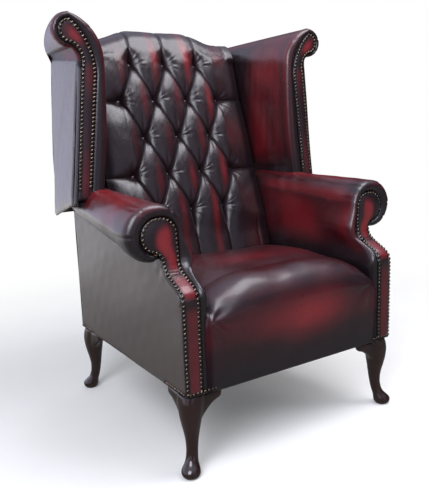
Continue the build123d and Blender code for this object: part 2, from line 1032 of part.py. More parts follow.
def button_twines():
    """A twine from each button through foam and strap, with its knot behind."""
    made = []
    for spot in button_spots():
        length = -button_sink - strap_rear + fit + knot_long
        shaft = Solid.make_cylinder(twine_radius, length, button_plane(spot, strap_rear - fit - knot_long))
        knot = Solid.make_cylinder(knot_radius, knot_long, button_plane(spot, strap_rear - fit - knot_long))
        made.append(biggest(shaft.fuse(knot)))
    return made


# Arms


def arm_section(y, inset):
    """Outline across an arm: a slab with a scroll on top, smaller toward the rear."""
    run = (y - arm_front) / (arm_rear - arm_front)
    inner = blend(arm_inner_front, arm_inner_rear, run) + inset
    far = blend(arm_far_front, arm_far_rear, max(run, 0) ** arm_taper_power) - inset
    top = blend(arm_top_front, arm_top_rear, run) - inset
    under = blend(arm_under_front, arm_under_rear, run) + inset
    middle_z = (top + under) / 2
    side = side_x(y) - inset
    corners = (
        (side, body_bottom),
        (blend(arm_foot_front, arm_foot_rear, run) + inset, body_bottom),
        (inner, middle_z),
        ((inner + far) / 2, top),
        (far, middle_z),
        (blend(side, far, arm_under_share), under),
        (side, blend(arm_tuck_front, arm_tuck_rear, run) + inset),
    )
    shares = (0, 0, roll_share, roll_share, arm_under_bow_share, 0, 0)
    return outline(corners, shares, across_y(y))


def arm_body(inset, low, y_from, y_to):
    """An arm's shape inside its surface by inset, cut to a foot and two depths."""
    stations = [blend(arm_front, arm_rear + overrun, share) for share in arm_station_shares]
    body = Solid.make_loft([arm_section(y, inset) for y in stations])
    return trimmed(body, y_from, y_to, low)


def shoulder_line(gap):
    """The (y, z) line of the arm's front: upright, then back over the shoulder to the scroll."""
    return (
        (gap, shoulder_low_z),
        (shoulder_mid_y + gap, shoulder_mid_z - gap),
        (shoulder_up_y + gap, shoulder_up_z - gap),
        (arm_plane + gap, shoulder_top_z - gap),
    )


def arm_cover():
    """Leather and wadding over the scroll and down the inner side, round to the front border."""
    outer = rounded_body(arm_section, arm_front, arm_round, arm_rear, arm_station_shares)
    outer = trimmed(outer, arm_front, arm_rear, arm_foot_z)
    inner = arm_body(wall, body_bottom, arm_plane + facing_thick, arm_rear + overrun)
    shell = biggest(outer - inner - arm_facing_room() - arm_panel_room() - post_room())
    strip = biggest(border_strip() - arm_panel_room())
    shell = biggest(shell.fuse(strip))
    return biggest(shell - behind_foam(post_outer + fit) - wing_peg(fit) - behind_skin(fit))


def post_room():
    """Where the front post stands behind the border, inside the cover's inner wall."""
    rear = arm_plane + post_front_face + scroll_board + fit
    corners = (
        (facing_thick, body_bottom - overrun),
        *shoulder_line(facing_thick),
        (arm_plane + facing_thick, arm_tuck_front + fit),
        (rear, arm_tuck_front + fit),
        (rear, body_bottom - overrun),
    )
    return prism_x(corners, post_side, beyond)


def border_strip():
    """The border beside the front facing, from the floor side up to the scroll."""
    rear = arm_plane + facing_thick
    corners = (
        (-border_bulge, panel_bottom),
        *shoulder_line(-border_bulge),
        (rear, shoulder_top_z + arm_bulge + arm_bulge),
        (rear, panel_bottom),
    )
    solid = prism_x(corners, arm_foot_front, facing_inner - fit)
    rail_room = box(0, beyond, rail_inset - fit, rear + overrun, 0, arm_foot_z)
    return solid - post_room() - rail_room


def facing_outline(grow, y):
    """The arm facing between its stud rows, with the oval of the scroll on top."""
    inner = facing_inner - grow
    outer = body_half_front + grow
    left = arm_inner_front + oval_inner_in - grow
    right = arm_far_front - oval_outer_in + grow
    top = oval_z + oval_high + grow
    curl = oval_z - oval_high - grow
    corners = (
        (outer, panel_bottom),
        (inner, panel_bottom),
        (inner, facing_neck_z),
        (left, oval_z),
        ((left + right) / 2, top),
        (right, oval_z),
        (body_half_front + curl_out, curl),
        (outer + facing_neck_out, facing_neck_z),
    )
    shares = (0, 0, 0, roll_share, roll_share, roll_share, curl_share, 0)
    return outline(corners, shares, across_y(y))


def along_front(low, far_gap, near_gap, rise):
    """A band that follows the arm's front line, between two gaps behind it."""
    near = shoulder_line(near_gap)
    far = shoulder_line(far_gap)
    return (
        (near_gap, low),
        *near,
        (near[-1][0], rise),
        (far[-1][0], rise),
        *reversed(far),
        (far_gap, low),
    )


def arm_facing():
    """The leather facing on the front of the post and scroll."""
    face = Face(facing_outline(0, -overrun))
    front = Solid.extrude(face, Vector(0, arm_plane + overrun + overrun, 0))
    band = prism_x(along_front(panel_bottom, facing_thick, 0, arm_top_rear), 0, beyond)
    return biggest(front.intersect(band))


def arm_facing_room():
    """Where the facing and the post stand inside the cover's front border."""
    face = Face(facing_outline(fit, -overrun))
    return Solid.extrude(face, Vector(0, overrun + arm_plane + facing_thick + fit, 0))


def below_tuck(rise):
    """Everything lower than the tuck under the scroll, raised by rise."""
    corners = (
        (-overrun, body_bottom - overrun),
        (-overrun, arm_tuck_front + rise),
        (arm_front, arm_tuck_front + rise),
        (arm_rear, arm_tuck_rear + rise),
        (body_depth + overrun, arm_tuck_rear + rise),
        (body_depth + overrun, body_bottom - overrun),
    )
    return prism_x(corners, 0, beyond)


def side_strip(outer_gap, inner_gap):
    """A flat strip along the body's side, between two gaps inside it."""
    y_from = -overrun
    y_to = body_depth + overrun
    corners = (
        (side_x(y_from) - outer_gap, y_from),
        (side_x(y_to) - outer_gap, y_to),
        (side_x(y_to) - inner_gap, y_to),
        (side_x(y_from) - inner_gap, y_from),
    )
    return prism_z(corners, body_bottom, arm_top_rear)


def arm_panel_room():
    return biggest(side_strip(-fit, rail_thick).intersect(below_tuck(fit)))


def side_profile(front_gap, top_gap):
    """Side view of what covers the outside of an arm, as a prism through it."""
    front = shoulder_line(front_gap)
    rear = body_depth - skin - fit
    corners = (
        (front_gap, panel_bottom),
        *front,
        (front[-1][0], arm_tuck_front - top_gap),
        (arm_rear, arm_tuck_rear - top_gap),
        (rear, arm_tuck_rear - top_gap),
        (rear, panel_bottom),
    )
    return prism_x(corners, 0, beyond)


def outside_arm():
    """The flat leather panel on the outside of an arm."""
    return biggest(side_strip(0, skin).intersect(side_profile(facing_thick + fit, fit)))


def outside_arm_board():
    """The stiff card that backs the outside arm panel."""
    near = skin + fit
    return biggest(side_strip(near, near + board).intersect(side_profile(facing_thick + fit, fit)))


def arm_post():
    """The front post: upright below, back over the shoulder, with the scroll board on top."""
    gap = post_front_face
    board_rear = arm_plane + gap + scroll_board
    corners = (
        (gap, frame_bottom),
        *shoulder_line(gap),
        (arm_plane + gap, arm_tuck_front),
        (board_rear, arm_tuck_front),
        (board_rear, shoulder_low_z),
        (post_front_rear, post_knee_z),
        (post_front_rear, frame_bottom),
    )
    outer = min(frame_x(gap), frame_x(board_rear))
    lower = prism_x(corners, post_side + fit, outer)
    scroll = arm_body(inner_skin, shoulder_low_z, arm_plane + gap, board_rear)
    return biggest(lower.fuse(scroll) - bolt(front_leg_place(), fit))


def arm_rail(grow):
    """The rail in the scroll, from its front board to the side of the rear post."""
    y_from = arm_plane + post_front_face + scroll_board + fit - grow
    y_to = arm_rear - wall + grow
    corners = (
        (arm_rail_inner - grow, y_from),
        (arm_rail_inner + arm_rail_wide + grow, y_from),
        (arm_rail_rear_outer + grow, y_to),
        (post_outer + fit - grow, y_to),
    )
    return prism_z(corners, arm_rail_bottom - grow, arm_rail_bottom + arm_rail_high + grow)


def arm_foam():
    """Foam in the scroll and down the inner side, round the rail."""
    inset = wall + fit
    body = arm_body(inset, arm_foot_z, arm_plane + post_front_face, arm_rear)
    board_rear = arm_plane + post_front_face + scroll_board + fit
    pad = wall + arm_pad
    past_pad = (
        (arm_foot_front + pad, arm_front),
        (arm_foot_rear + pad, arm_rear),
        (beyond, arm_rear),
        (beyond, arm_front),
    )
    hollow = biggest(below_tuck(wall + fit).intersect(prism_z(past_pad, body_bottom, arm_top_rear)))
    front = box(0, beyond, 0, board_rear, body_bottom, lean_z)
    return biggest(body - hollow - front - arm_rail(fit) - behind_foam(beyond) - wing_peg(fit))


# Wings


def wing_section(y, inset):
    """Outline across a wing: a tall slab with a scroll on top that dies away to the rear."""
    run = (y - wing_front) / (wing_rear - wing_front)
    share = max(run, 0) ** wing_taper_power
    roll_x = blend(wing_front_roll_x, body_half_rear - wing_rear_roll_in, share)
    roll_z = blend(wing_front_roll_z, wing_rear_roll_z, share)
    radius = blend(wing_front_roll_radius, wing_rear_roll_radius, share) - inset
    corners = (
        (blend(wing_side + wing_front_base_out, upper_x(wing_low_z), run) - inset, wing_low_z),
        (blend(wing_side + wing_front_foot_out, wing_rear_foot_x, run) + inset, wing_low_z),
        (
            blend(wing_front_neck_x, wing_rear_foot_x, run) + inset,
            blend(wing_front_neck_z, wing_rear_neck_z, run),
        ),
        (roll_x, roll_z + radius),
        (roll_x + radius, roll_z),
        (
            blend(wing_front_roll_x, body_half_rear + wing_rear_under_out, run),
            blend(wing_front_under_z, wing_rear_under_z, run) + inset,
        ),
        (
            blend(wing_side + wing_front_notch_out, upper_high_half, run) - inset,
            blend(wing_front_notch_z, wing_rear_notch_z, run) + inset / 2,
        ),
    )
    shares = (
        0,
        blend(wing_inner_front_share, wing_inner_rear_share, run),
        wing_shoulder_share,
        roll_share,
        blend(roll_share, wing_rear_roll_share, run),
        wing_notch_share,
        wing_side_share,
    )
    return outline(corners, shares, across_y(y))


def wing_body(inset, low, y_from, y_to):
    """A wing's shape inside its surface by inset, cut to a foot and two depths."""
    stations = [blend(wing_front, wing_rear + overrun, share) for share in wing_station_shares]
    body = Solid.make_loft([wing_section(y, inset) for y in stations])
    return trimmed(body, y_from, y_to, low)


def above_panel_foot(rise):
    """Everything above the lower edge of the outside wing, which falls toward the rear."""
    slope = (upper_low_z - wing_panel_front_z) / (body_depth - wing_plane)
    corners = (
        (0, wing_panel_front_z - wing_plane * slope + rise),
        (beyond, wing_panel_front_z + (beyond - wing_plane) * slope + rise),
        (beyond, beyond),
        (0, beyond),
    )
    return prism_x(corners, 0, beyond)


def wing_outer_room(gap):
    """The outer side of a wing, behind its border and under its scroll."""
    front = wing_plane + wing_seam + gap
    rear = wing_rear + overrun
    plan = (
        (wing_mid_front_x, front),
        (wing_mid_rear_x, rear),
        (beyond, rear),
        (beyond, front),
    )
    side = (
        (front, shoulder_low_z),
        (front, wing_front_notch_z - gap),
        (rear, wing_rear_notch_z - gap),
        (rear, shoulder_low_z),
    )
    column = prism_z(plan, shoulder_low_z, lean_z)
    return biggest(column.intersect(prism_x(side, 0, beyond)))


def wing_facing_outline(grow, y):
    """The wing facing between its stud rows, with the disc of the scroll on top."""
    roll_x = wing_front_roll_x
    radius = wing_disc_radius + grow
    corners = (
        (wing_side + wing_facing_outer_foot_out + grow, wing_foot_z),
        (wing_side + wing_facing_inner_foot_out - grow, wing_foot_z),
        (wing_side + wing_facing_inner_neck_out - grow, wing_facing_inner_neck_z),
        (roll_x, wing_disc_z + radius),
        (roll_x + radius, wing_disc_z),
        (roll_x, wing_disc_z - radius),
        (wing_side + wing_facing_outer_neck_out + grow, wing_facing_outer_neck_z),
    )
    shares = (0, 0, wing_disc_share, roll_share, roll_share, wing_curl_share, 0)
    return outline(corners, shares, across_y(y))


def wing_facing():
    face = Face(wing_facing_outline(0, wing_plane))
    return biggest(Solid.extrude(face, Vector(0, facing_thick, 0)) - over_arm())


def wing_facing_room():
    face = Face(wing_facing_outline(fit, wing_plane - overrun))
    return Solid.extrude(face, Vector(0, overrun + facing_thick + fit, 0))


def over_arm():
    """The arm's outer shape, which whatever stands on it is cut to."""
    return arm_body(-fit, body_bottom, arm_front, arm_rear + overrun)


def wing_cover():
    """Leather and wadding on the inside of a wing, over its scroll and front border."""
    outer = rounded_body(wing_section, wing_front, wing_round, wing_rear, wing_station_shares)
    outer = trimmed(outer, wing_front, wing_rear, wing_foot_z)
    inner = wing_body(wall, wing_low_z, wing_plane + facing_thick, wing_rear + overrun)
    shell = outer - inner - wing_facing_room() - wing_outer_room(0) - over_arm()
    return biggest(shell - behind_foam(post_outer + fit) - behind_skin(fit) - crest_rail(fit))


def wing_board():
    """The front board of a wing, with the peg that stands on the arm rail."""
    y_from = wing_plane + post_front_face
    y_to = y_from + scroll_board
    body = wing_body(inner_skin, wing_panel_front_z + wall, y_from, y_to) - over_arm()
    return biggest(biggest(body).fuse(wing_peg(0)))


def wing_peg(grow):
    y_from = wing_plane + post_front_face
    return box(
        wing_side + wing_peg_out - grow,
        wing_side + wing_peg_out + wing_peg_wide + grow,
        y_from - grow,
        y_from + scroll_board + grow,
        arm_rail_bottom + arm_rail_high + fit,
        arm_top_rear + wall + grow,
    )


def wing_rail(grow):
    """The top rail of a wing, from its front board in to the top rail of the back."""
    y_from = wing_plane + post_front_face + scroll_board + fit
    y_to = crest_rail_front
    half = wing_rail_wide / 2 + grow
    corners = (
        (wing_rail_front_x - half, y_from - grow),
        (wing_rail_front_x + half, y_from - grow),
        (wing_rail_rear_x + half, y_to),
        (wing_rail_rear_x - half, y_to),
    )
    bar = prism_z(corners, wing_rail_bottom - grow, wing_rail_bottom + wing_rail_high + grow)
    return biggest(bar - lean_slab(body_bottom, beyond, -beyond, post_face + fit, 0, beyond))


def wing_foam():
    """Foam on the inner side of the wing and in its scroll, back to the top rail."""
    y_from = wing_plane + post_front_face + scroll_board + fit
    body = wing_body(wall + fit, wing_foot_z, y_from, crest_rail_front - fit)
    front = wing_plane
    plan = (
        (wing_front_neck_x + wall + wing_pad, front),
        (wing_rear_foot_x + wall + wing_pad, wing_rear),
        (beyond, wing_rear),
        (beyond, front),
    )
    hollow = prism_z(plan, body_bottom, wing_front_neck_z)
    body = biggest(body - hollow - wing_outer_room(-wall)) - over_arm() - behind_foam(beyond)
    return biggest(body - wing_rail(fit))


def outside_wing():
    """The outside panel of a wing, with a lip under it that returns to the arm."""
    outer = wing_body(0, wing_low_z, wing_front, wing_rear).intersect(above_panel_foot(0))
    inner = wing_body(skin, wing_low_z, wing_front, wing_rear + overrun).intersect(above_panel_foot(skin))
    shell = biggest((biggest(outer) - biggest(inner)).intersect(wing_outer_room(fit)))
    return biggest(shell - over_arm() - behind_skin(fit))


def outside_wing_board():
    """The stiff card that backs the outside wing panel."""
    near = skin + fit
    outer = wing_body(near, wing_panel_front_z + wall, wing_front, wing_rear)
    inner = wing_body(near + board, wing_low_z, wing_front - overrun, wing_rear + overrun)
    shell = biggest((outer - inner).intersect(wing_outer_room(fit)))
    return biggest(shell - over_arm() - behind_skin(board + fit))


# Outside back


def back_band(near, far):
    """A band that follows the outside back, between two gaps in front of it."""
    corners = (
        (body_depth - near, panel_bottom),
        (body_depth - near, kink_z),
        (rear_y(lean_z) - near, lean_z),
        (rear_y(lean_z) - far, lean_z),
        (body_depth - far, kink_z),
        (body_depth - far, panel_bottom),
    )
    return prism_x(corners, -beyond, beyond)


def outside_back():
    """The outside back panel, wider above the arms, with an arched top."""
    low_half = body_half_rear
    corner_half = body_half_rear - outside_back_corner_in
    corners = (
        (low_half, panel_bottom),
        (-low_half, panel_bottom),
        (-low_half, upper_low_z - skin),
        (-upper_low_half, upper_low_z),
        (-upper_high_half, upper_high_z),
        (-corner_half, outside_back_corner_z),
        (0, outside_back_top),
        (corner_half, outside_back_corner_z),
        (upper_high_half, upper_high_z),
        (upper_low_half, upper_low_z),
        (low_half, upper_low_z - skin),
    )
    shares = (0, 0, 0, 0, 0, back_arch_share, back_arch_share, 0, 0, 0, 0)
    face = Face(outline(corners, shares, across_y(0)))
    return biggest(Solid.extrude(face, Vector(0, beyond, 0)).intersect(back_band(0, skin)))


def outside_back_board():
    reach = post_outer - fit
    near = skin + fit
    outer = box(-reach, reach, 0, beyond, frame_bottom, post_top_z + wing_rail_high)
    return biggest(outer.intersect(back_band(near, near + board)))


# Write every sub-part

save("front_rail", front_rail())
save("rear_rail", rear_rail())
save_pair("side_rail", side_rail())
save("corner_blocks", *corner_blocks())
save_pair("back_post", back_post())
save("stay_rail", stay_rail())
save("crest_rail", crest_rail(0))
save_pair("arm_post", arm_post())
save_pair("arm_rail", arm_rail(0))
save_pair("wing_board", wing_board())
save_pair("wing_rail", wing_rail(0))

save_pair("front_leg", leg(front_leg_place(), -1))
save_pair("rear_leg", leg(rear_leg_place(), 1))
bolts = [bolt(place, 0) for place in (front_leg_place(), rear_leg_place())]
save("leg_bolts", *bolts, *[piece.mirror(Plane.YZ) for piece in bolts])
save("knee_brackets", *brackets())

save("seat_webbing", *seat_webbing())
save("seat_hessian", seat_hessian())
save("seat_foam", seat_foam())
save("seat_cover", seat_cover())
save("dust_cover", dust_cover())

save("back_webbing", *back_webbing())
save("back_foam", back_foam())
save("back_cover", back_cover())
save("back_buttons", *back_buttons())
save("button_twines", *button_twines())
save("outside_back", outside_back())
save("outside_back_board", outside_back_board())

save_pair("arm_foam", arm_foam())
save_pair("arm_cover", arm_cover())
save_pair("arm_facing", arm_facing())
save_pair("outside_arm", outside_arm())
save_pair("outside_arm_board", outside_arm_board())

save_pair("wing_foam", wing_foam())
save_pair("wing_cover", wing_cover())
save_pair("wing_facing", wing_facing())
save_pair("outside_wing", outside_wing())
save_pair("outside_wing_board", outside_wing_board())
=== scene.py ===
import math
import bmesh
import bpy
import numpy as np
from mathutils import Matrix, Vector, kdtree


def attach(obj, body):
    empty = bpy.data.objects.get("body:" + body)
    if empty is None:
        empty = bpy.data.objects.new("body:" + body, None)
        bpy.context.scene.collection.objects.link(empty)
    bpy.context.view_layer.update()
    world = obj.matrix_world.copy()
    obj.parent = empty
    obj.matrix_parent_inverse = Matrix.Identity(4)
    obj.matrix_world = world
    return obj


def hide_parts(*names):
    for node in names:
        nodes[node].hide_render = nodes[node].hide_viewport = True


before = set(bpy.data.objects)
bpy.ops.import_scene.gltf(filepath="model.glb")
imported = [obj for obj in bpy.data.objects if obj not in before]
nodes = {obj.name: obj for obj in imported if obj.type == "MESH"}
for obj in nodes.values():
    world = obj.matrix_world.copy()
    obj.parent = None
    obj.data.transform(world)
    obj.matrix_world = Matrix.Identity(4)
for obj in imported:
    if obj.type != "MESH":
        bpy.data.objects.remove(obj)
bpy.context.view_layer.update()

# Sizes are in millimetres, with y measured back from the front plane of the arm posts.
# The chair faces -y, and its right side is +x, as someone in front of it sees it.
# Side pieces are made for +x and mirrored for the left.

MM = 0.001
SHIFT = 356.6
BOTTOM = 195.0
FRONT_HALF = 328.0
REAR_HALF = 309.0
DEPTH = 648.0
# Above this height the rear leans back, by the first number for the second one up
LEAN_FROM = 640.0
LEAN = (82.0, 410.0)
# The share by which a quarter of a circle swells from its chord
QUARTER = 0.207
SIDES = {-1: "left", 1: "right"}


def smooth(low, high, value):
    """0 up to low and 1 from high on, with a soft step between."""
    t = np.clip((value - low) / (high - low), 0.0, 1.0)
    return t * t * (3.0 - 2.0 * t)


def fade(low, high, value):
    """1 up to low and 0 from high on."""
    return 1 - smooth(low, high, value)


def blend(first, last, share):
    return first + (last - first) * share


def hump(value, at, wide):
    """1 at one value, falling away on both sides."""
    return np.exp(-((value - at) / wide) ** 2)


def hill(share):
    """0 at both ends of a share and 1 in its middle."""
    return np.sin(np.clip(share, 0, 1) * math.pi)


def turn_from(angle, at):
    """The turn from one angle to another in degrees, from -180 to 180."""
    return (angle - at + 180) % 360 - 180


def xyz(*parts):
    return np.stack(np.broadcast_arrays(*parts), axis=-1)


def round_turns(count):
    return np.linspace(0, 2 * math.pi, count, endpoint=False)


def waves(points, size, seed, stretch=(1, 1, 1), count=7):
    """Smooth noise, about -1 to 1, with features of one size. Flat points lie at height 0."""
    flat = points.reshape(-1, points.shape[-1])
    if flat.shape[1] == 2:
        flat = np.hstack((flat, np.zeros((len(flat), 1))))
    flat = flat * stretch
    made = np.random.default_rng(seed)
    total = np.zeros(len(flat))
    for _ in range(count):
        way = made.normal(size=3)
        way /= np.linalg.norm(way)
        total += np.sin(flat @ way * (2.0 * math.pi / size) * made.uniform(0.6, 1.5) + made.uniform(0, 6.3))
    return (total / math.sqrt(count) * 0.9).reshape(points.shape[:-1])


def arc(start, end, share, count):
    """Points from start up to, not with, end, along an arc that swells to its left."""
    start = np.array(start, float)
    along = np.array(end, float) - start
    t = np.arange(count) / count
    if share == 0:
        return start + along * t[:, None]
    middle = (start + np.array(end, float)) / 2.0
    length = np.linalg.norm(along)
    along /= length
    left = np.array((-along[1], along[0]))
    half = 2.0 * math.atan(2.0 * share)
    radius = length / (2.0 * math.sin(half))
    angle = -half + 2.0 * half * t
    forward = along * (radius * np.sin(angle))[:, None]
    return middle + forward + left * (radius * (np.cos(angle) - math.cos(half)))[:, None]


def open_line(corners, shares, counts):
    """Points along arcs from corner to corner, without the last corner."""
    return np.vstack([arc(*step) for step in zip(corners, corners[1:], shares, counts)])


def closed_line(corners, shares, counts):
    return open_line((*corners, corners[0]), shares, counts)


def ways(points):
    """The direction of a line at each of its points."""
    last = len(points) - 1
    made = []
    for i in range(last + 1):
        way = points[min(i + 1, last)] - points[max(i - 1, 0)]
        made.append(way / np.linalg.norm(way))
    return np.array(made)


# Meshes


def new_object(name, data):
    piece = bpy.data.objects.new(name, data)
    bpy.context.scene.collection.objects.link(piece)
    return piece


def make_mesh(name, points, faces, side=1, **painted):
    """A closed mesh from points in millimetres; side -1 mirrors it. Paints are numbers on its points."""
    points = np.array(points, float)
    points[:, 0] *= side
    points[:, 1] -= SHIFT
    mesh = bpy.data.meshes.new(name)
    if side < 0:
        faces = [tuple(reversed(face)) for face in faces]
    mesh.from_pydata((points * MM).tolist(), [], faces)
    mesh.update()
    mesh.polygons.foreach_set("use_smooth", [True] * len(mesh.polygons))
    for layer, values in painted.items():
        # The points of caps and undersides come last and get 0
        values = np.clip(np.ravel(values), 0.0, 1.0)
        values = np.concatenate((values, np.zeros(len(points) - len(values))))
        mesh.attributes.new(layer, "FLOAT", "POINT").data.foreach_set("value", values.tolist())
    turned = bmesh.new()
    turned.from_mesh(mesh)
    bmesh.ops.recalc_face_normals(turned, faces=turned.faces)
    turned.to_mesh(mesh)
    turned.free()
    return new_object(name, mesh)


def sheet_faces(rows, columns, wrap):
    """Quads of a grid whose columns may close into a ring."""
    faces = []
    for i in range(rows - 1):
        for j in range(columns if wrap else columns - 1):
            k = (j + 1) % columns
            faces.append((i * columns + j, i * columns + k, (i + 1) * columns + k, (i + 1) * columns + j))
    return faces


def capped(grid, ends):
    """Points and faces of a grid of rings, closed at both ends on a point."""
    rows, n, _ = grid.shape
    base = rows * n
    faces = sheet_faces(rows, n, True)
    for j in range(n):
        k = (j + 1) % n
        faces += [(k, j, base), (base - n + j, base - n + k, base + 1)]
    return np.vstack((grid.reshape(-1, 3), *ends)), faces


def joined(forms):
    """Points and faces of several forms as one."""
    points = []
    faces = []
    base = 0
    for form, form_faces in forms:
        points.append(form)
        faces += [tuple(base + i for i in face) for face in form_faces]
        base += len(form)
    return np.vstack(points), faces


def border(rim, outer, share, heights, steps):
    """Rows of a rolled border, from its stud line to the body: flat places and heights."""
    made = []
    for i in range(steps):
        t = i / (steps - 1)
        w = ((1 - t) ** 3, 3 * (1 - t) ** 2 * t, 3 * (1 - t) * t * t, t ** 3)
        flat = rim * w[0] + blend(rim, outer, share) * w[1] + outer * (w[2] + w[3])
        made.append((flat, sum(height * part for height, part in zip(heights, w))))
    return made


def over_border(rows, steps, values):
    """A column of numbers that has values on the rows of a border and 0 behind it."""
    made = np.zeros((rows, 1))
    made[:steps, 0] = values
    return made


def bead_share(rows, steps, fade):
    """How deep a cut is on each row: growing over the border, then fading out behind it."""
    made = over_border(rows, steps, np.sin(np.linspace(0.2, 1, steps) * math.pi / 2))
    made[steps:steps + fade, 0] = np.linspace(1, 0, fade)
    return made


# The chair's lines, as the model has them


def side_x(y):
    return blend(FRONT_HALF, REAR_HALF, np.asarray(y, float) / DEPTH)


def rear_y(z):
    return DEPTH + np.maximum(np.asarray(z, float) - LEAN_FROM, 0.0) * LEAN[0] / LEAN[1]


# The front of an arm runs straight up, back over the shoulder, and up again to the scroll.
# A point of the front is told by x, by how far along this line it lies, and by its height off it.

FRONT_LINE = np.array(
    (
        (0, 195), (0, 300), (0, 408), (0.6, 418), (3.2, 426.5), (9, 433), (20, 441), (40, 451.5), (58, 462),
        (69, 471), (76, 482), (79.4, 496), (80, 512), (80, 560), (80, 640),
    ),
    float,
)
LINE_STEPS = np.concatenate(((0,), np.cumsum(np.linalg.norm(np.diff(FRONT_LINE, axis=0), axis=1)))) + BOTTOM
SHOULDER_START = 408.0


def front_point(along):
    return np.interp(along, LINE_STEPS, FRONT_LINE[:, 0]), np.interp(along, LINE_STEPS, FRONT_LINE[:, 1])


def front_along(z):
    """How far along the line a height is."""
    return np.interp(z, FRONT_LINE[:, 1], LINE_STEPS)


def fold(x, along, height):
    """The place of a front point: x, along the line, and height off it."""
    y, z = front_point(along)
    y0, z0 = front_point(along - 5.0)
    y1, z1 = front_point(along + 5.0)
    dy, dz = y1 - y0, z1 - z0
    length = np.hypot(dy, dz)
    return xyz(x, y - dz / length * height, z + dy / length * height)


def lifted(points):
    """Front outline points with z turned into the distance along the front line."""
    return np.stack((points[:, 0], front_along(points[:, 1])), axis=-1)


def facing_line(counts):
    """The outline of the arm facing, laid flat along the front line."""
    corners = (
        (FRONT_HALF, BOTTOM), (284, BOTTOM), (284, 505), (286, 556), (332, 594), (378, 556), (348, 514), (330, 496)
    )
    return lifted(closed_line(corners, (0, 0, 0, QUARTER, QUARTER, QUARTER, -0.15, 0), counts))


# Arms

WALL_STEPS = 56
ARC_STEPS = (20, 22, 26, 5)
SCROLL_END = WALL_STEPS + sum(ARC_STEPS)
ARM_BORDER = 15
ARM_ROWS = 84
ARM_FRONT = 72.0
ARM_LONG = 528.0
ARM_BORDER_END = 94.0
ARM_END = 612.0
# Where the facing's inner edge turns out to the scroll, and the height of the scroll's middle
NECK_Z = 505.0
SCROLL_Z = 561.0


def arm_run(y):
    return (y - ARM_FRONT) / ARM_LONG


def arm_ring(y, wall_share):
    """Points across an arm at depth y: up the inner wall, then over the scroll to the tuck."""
    run = arm_run(y)
    inner = blend(270.0, 266.0, run)
    far = blend(414.0, 345.0, max(run, 0.0) ** 1.6)
    top = blend(623.5, 644.0, run)
    under = blend(498.5, 562.0, run)
    middle = (top + under) / 2.0
    side = float(side_x(y))
    tuck = blend(507.0, 570.0, run)
    last = (side - 1.0, tuck)
    scroll = open_line(
        ((inner, middle), ((inner + far) / 2.0, top), (far, middle), (blend(side, far, 0.25), under), last),
        (QUARTER, QUARTER, 0.18, 0),
        ARC_STEPS,
    )
    wall = xyz(blend(262.0, inner, wall_share), blend(BOTTOM, middle, wall_share))
    hidden = ((side - 5.0, tuck - 8.0), (side - 8.0, 330.0), (side - 8.0, BOTTOM + 8.0))
    return np.vstack((wall, scroll, last, *hidden))


def arm_body(side, seed):
    """The padded arm as one closed form, from its front border to the rear posts."""
    steps = np.linspace(front_along(405), front_along(552), 38)
    front_z = np.concatenate((np.linspace(195, 405, 18, endpoint=False), front_point(steps)[1]))
    wall_share = (front_z - BOTTOM) / (SCROLL_Z - BOTTOM)
    edge = xyz(blend(284.0, 286.0, np.maximum(front_z - NECK_Z, 0) / 55.0), front_z)
    corners = ((286, 556), (332, 594), (378, 556), (348, 514), (331, 498))
    loop = open_line(corners, (QUARTER, QUARTER, QUARTER, 0), ARC_STEPS)
    rim = lifted(np.vstack((edge, loop, (330, 496), (322, 488), (316, 330), (316, 203))))
    outer = lifted(arm_ring(ARM_BORDER_END, wall_share))
    # Front border: from the stud line over a bead to the side of the arm
    bulge = np.full(len(rim), 11.0)
    bulge[:WALL_STEPS] = blend(3.0, 11.0, smooth(395.0, 450.0, front_z))
    bulge[SCROLL_END:] = -4.0
    bulge *= smooth(2, 16, np.hypot(*(outer - rim).T))
    heights = (-2.0, bulge + 3.0, bulge * 0.9, -14.0)
    rows = [fold(*flat.T, height) for flat, height in border(rim, outer, 0.22, heights, ARM_BORDER)]
    # Body: back from the border, every column at its own depth
    start = rows[-1]
    for t in np.linspace(0, 1, ARM_ROWS)[1:]:
        y = blend(start[:, 1], ARM_END, t)
        ring = xyz(0.0, y, 0.0)
        for depth in np.unique(np.round(y, 3)):
            pick = np.abs(y - depth) < 2e-3
            ring[pick, ::2] = arm_ring(depth, wall_share)[pick]
        if t < 0.12:
            ring[:, ::2] = blend(start[:, ::2], ring[:, ::2], smooth(0, 0.12, t))
        rows.append(ring)
    grid = np.array(rows)
    # The front end closes on a point well behind the facing
    ends = ((315.0, 150.0, 540.0), grid[-1].mean(axis=0))
    form = capped(arm_folds(grid, seed), ends)
    return make_mesh(f"{SIDES[side]}_arm_leather", *form, side, wear=arm_wear(grid))


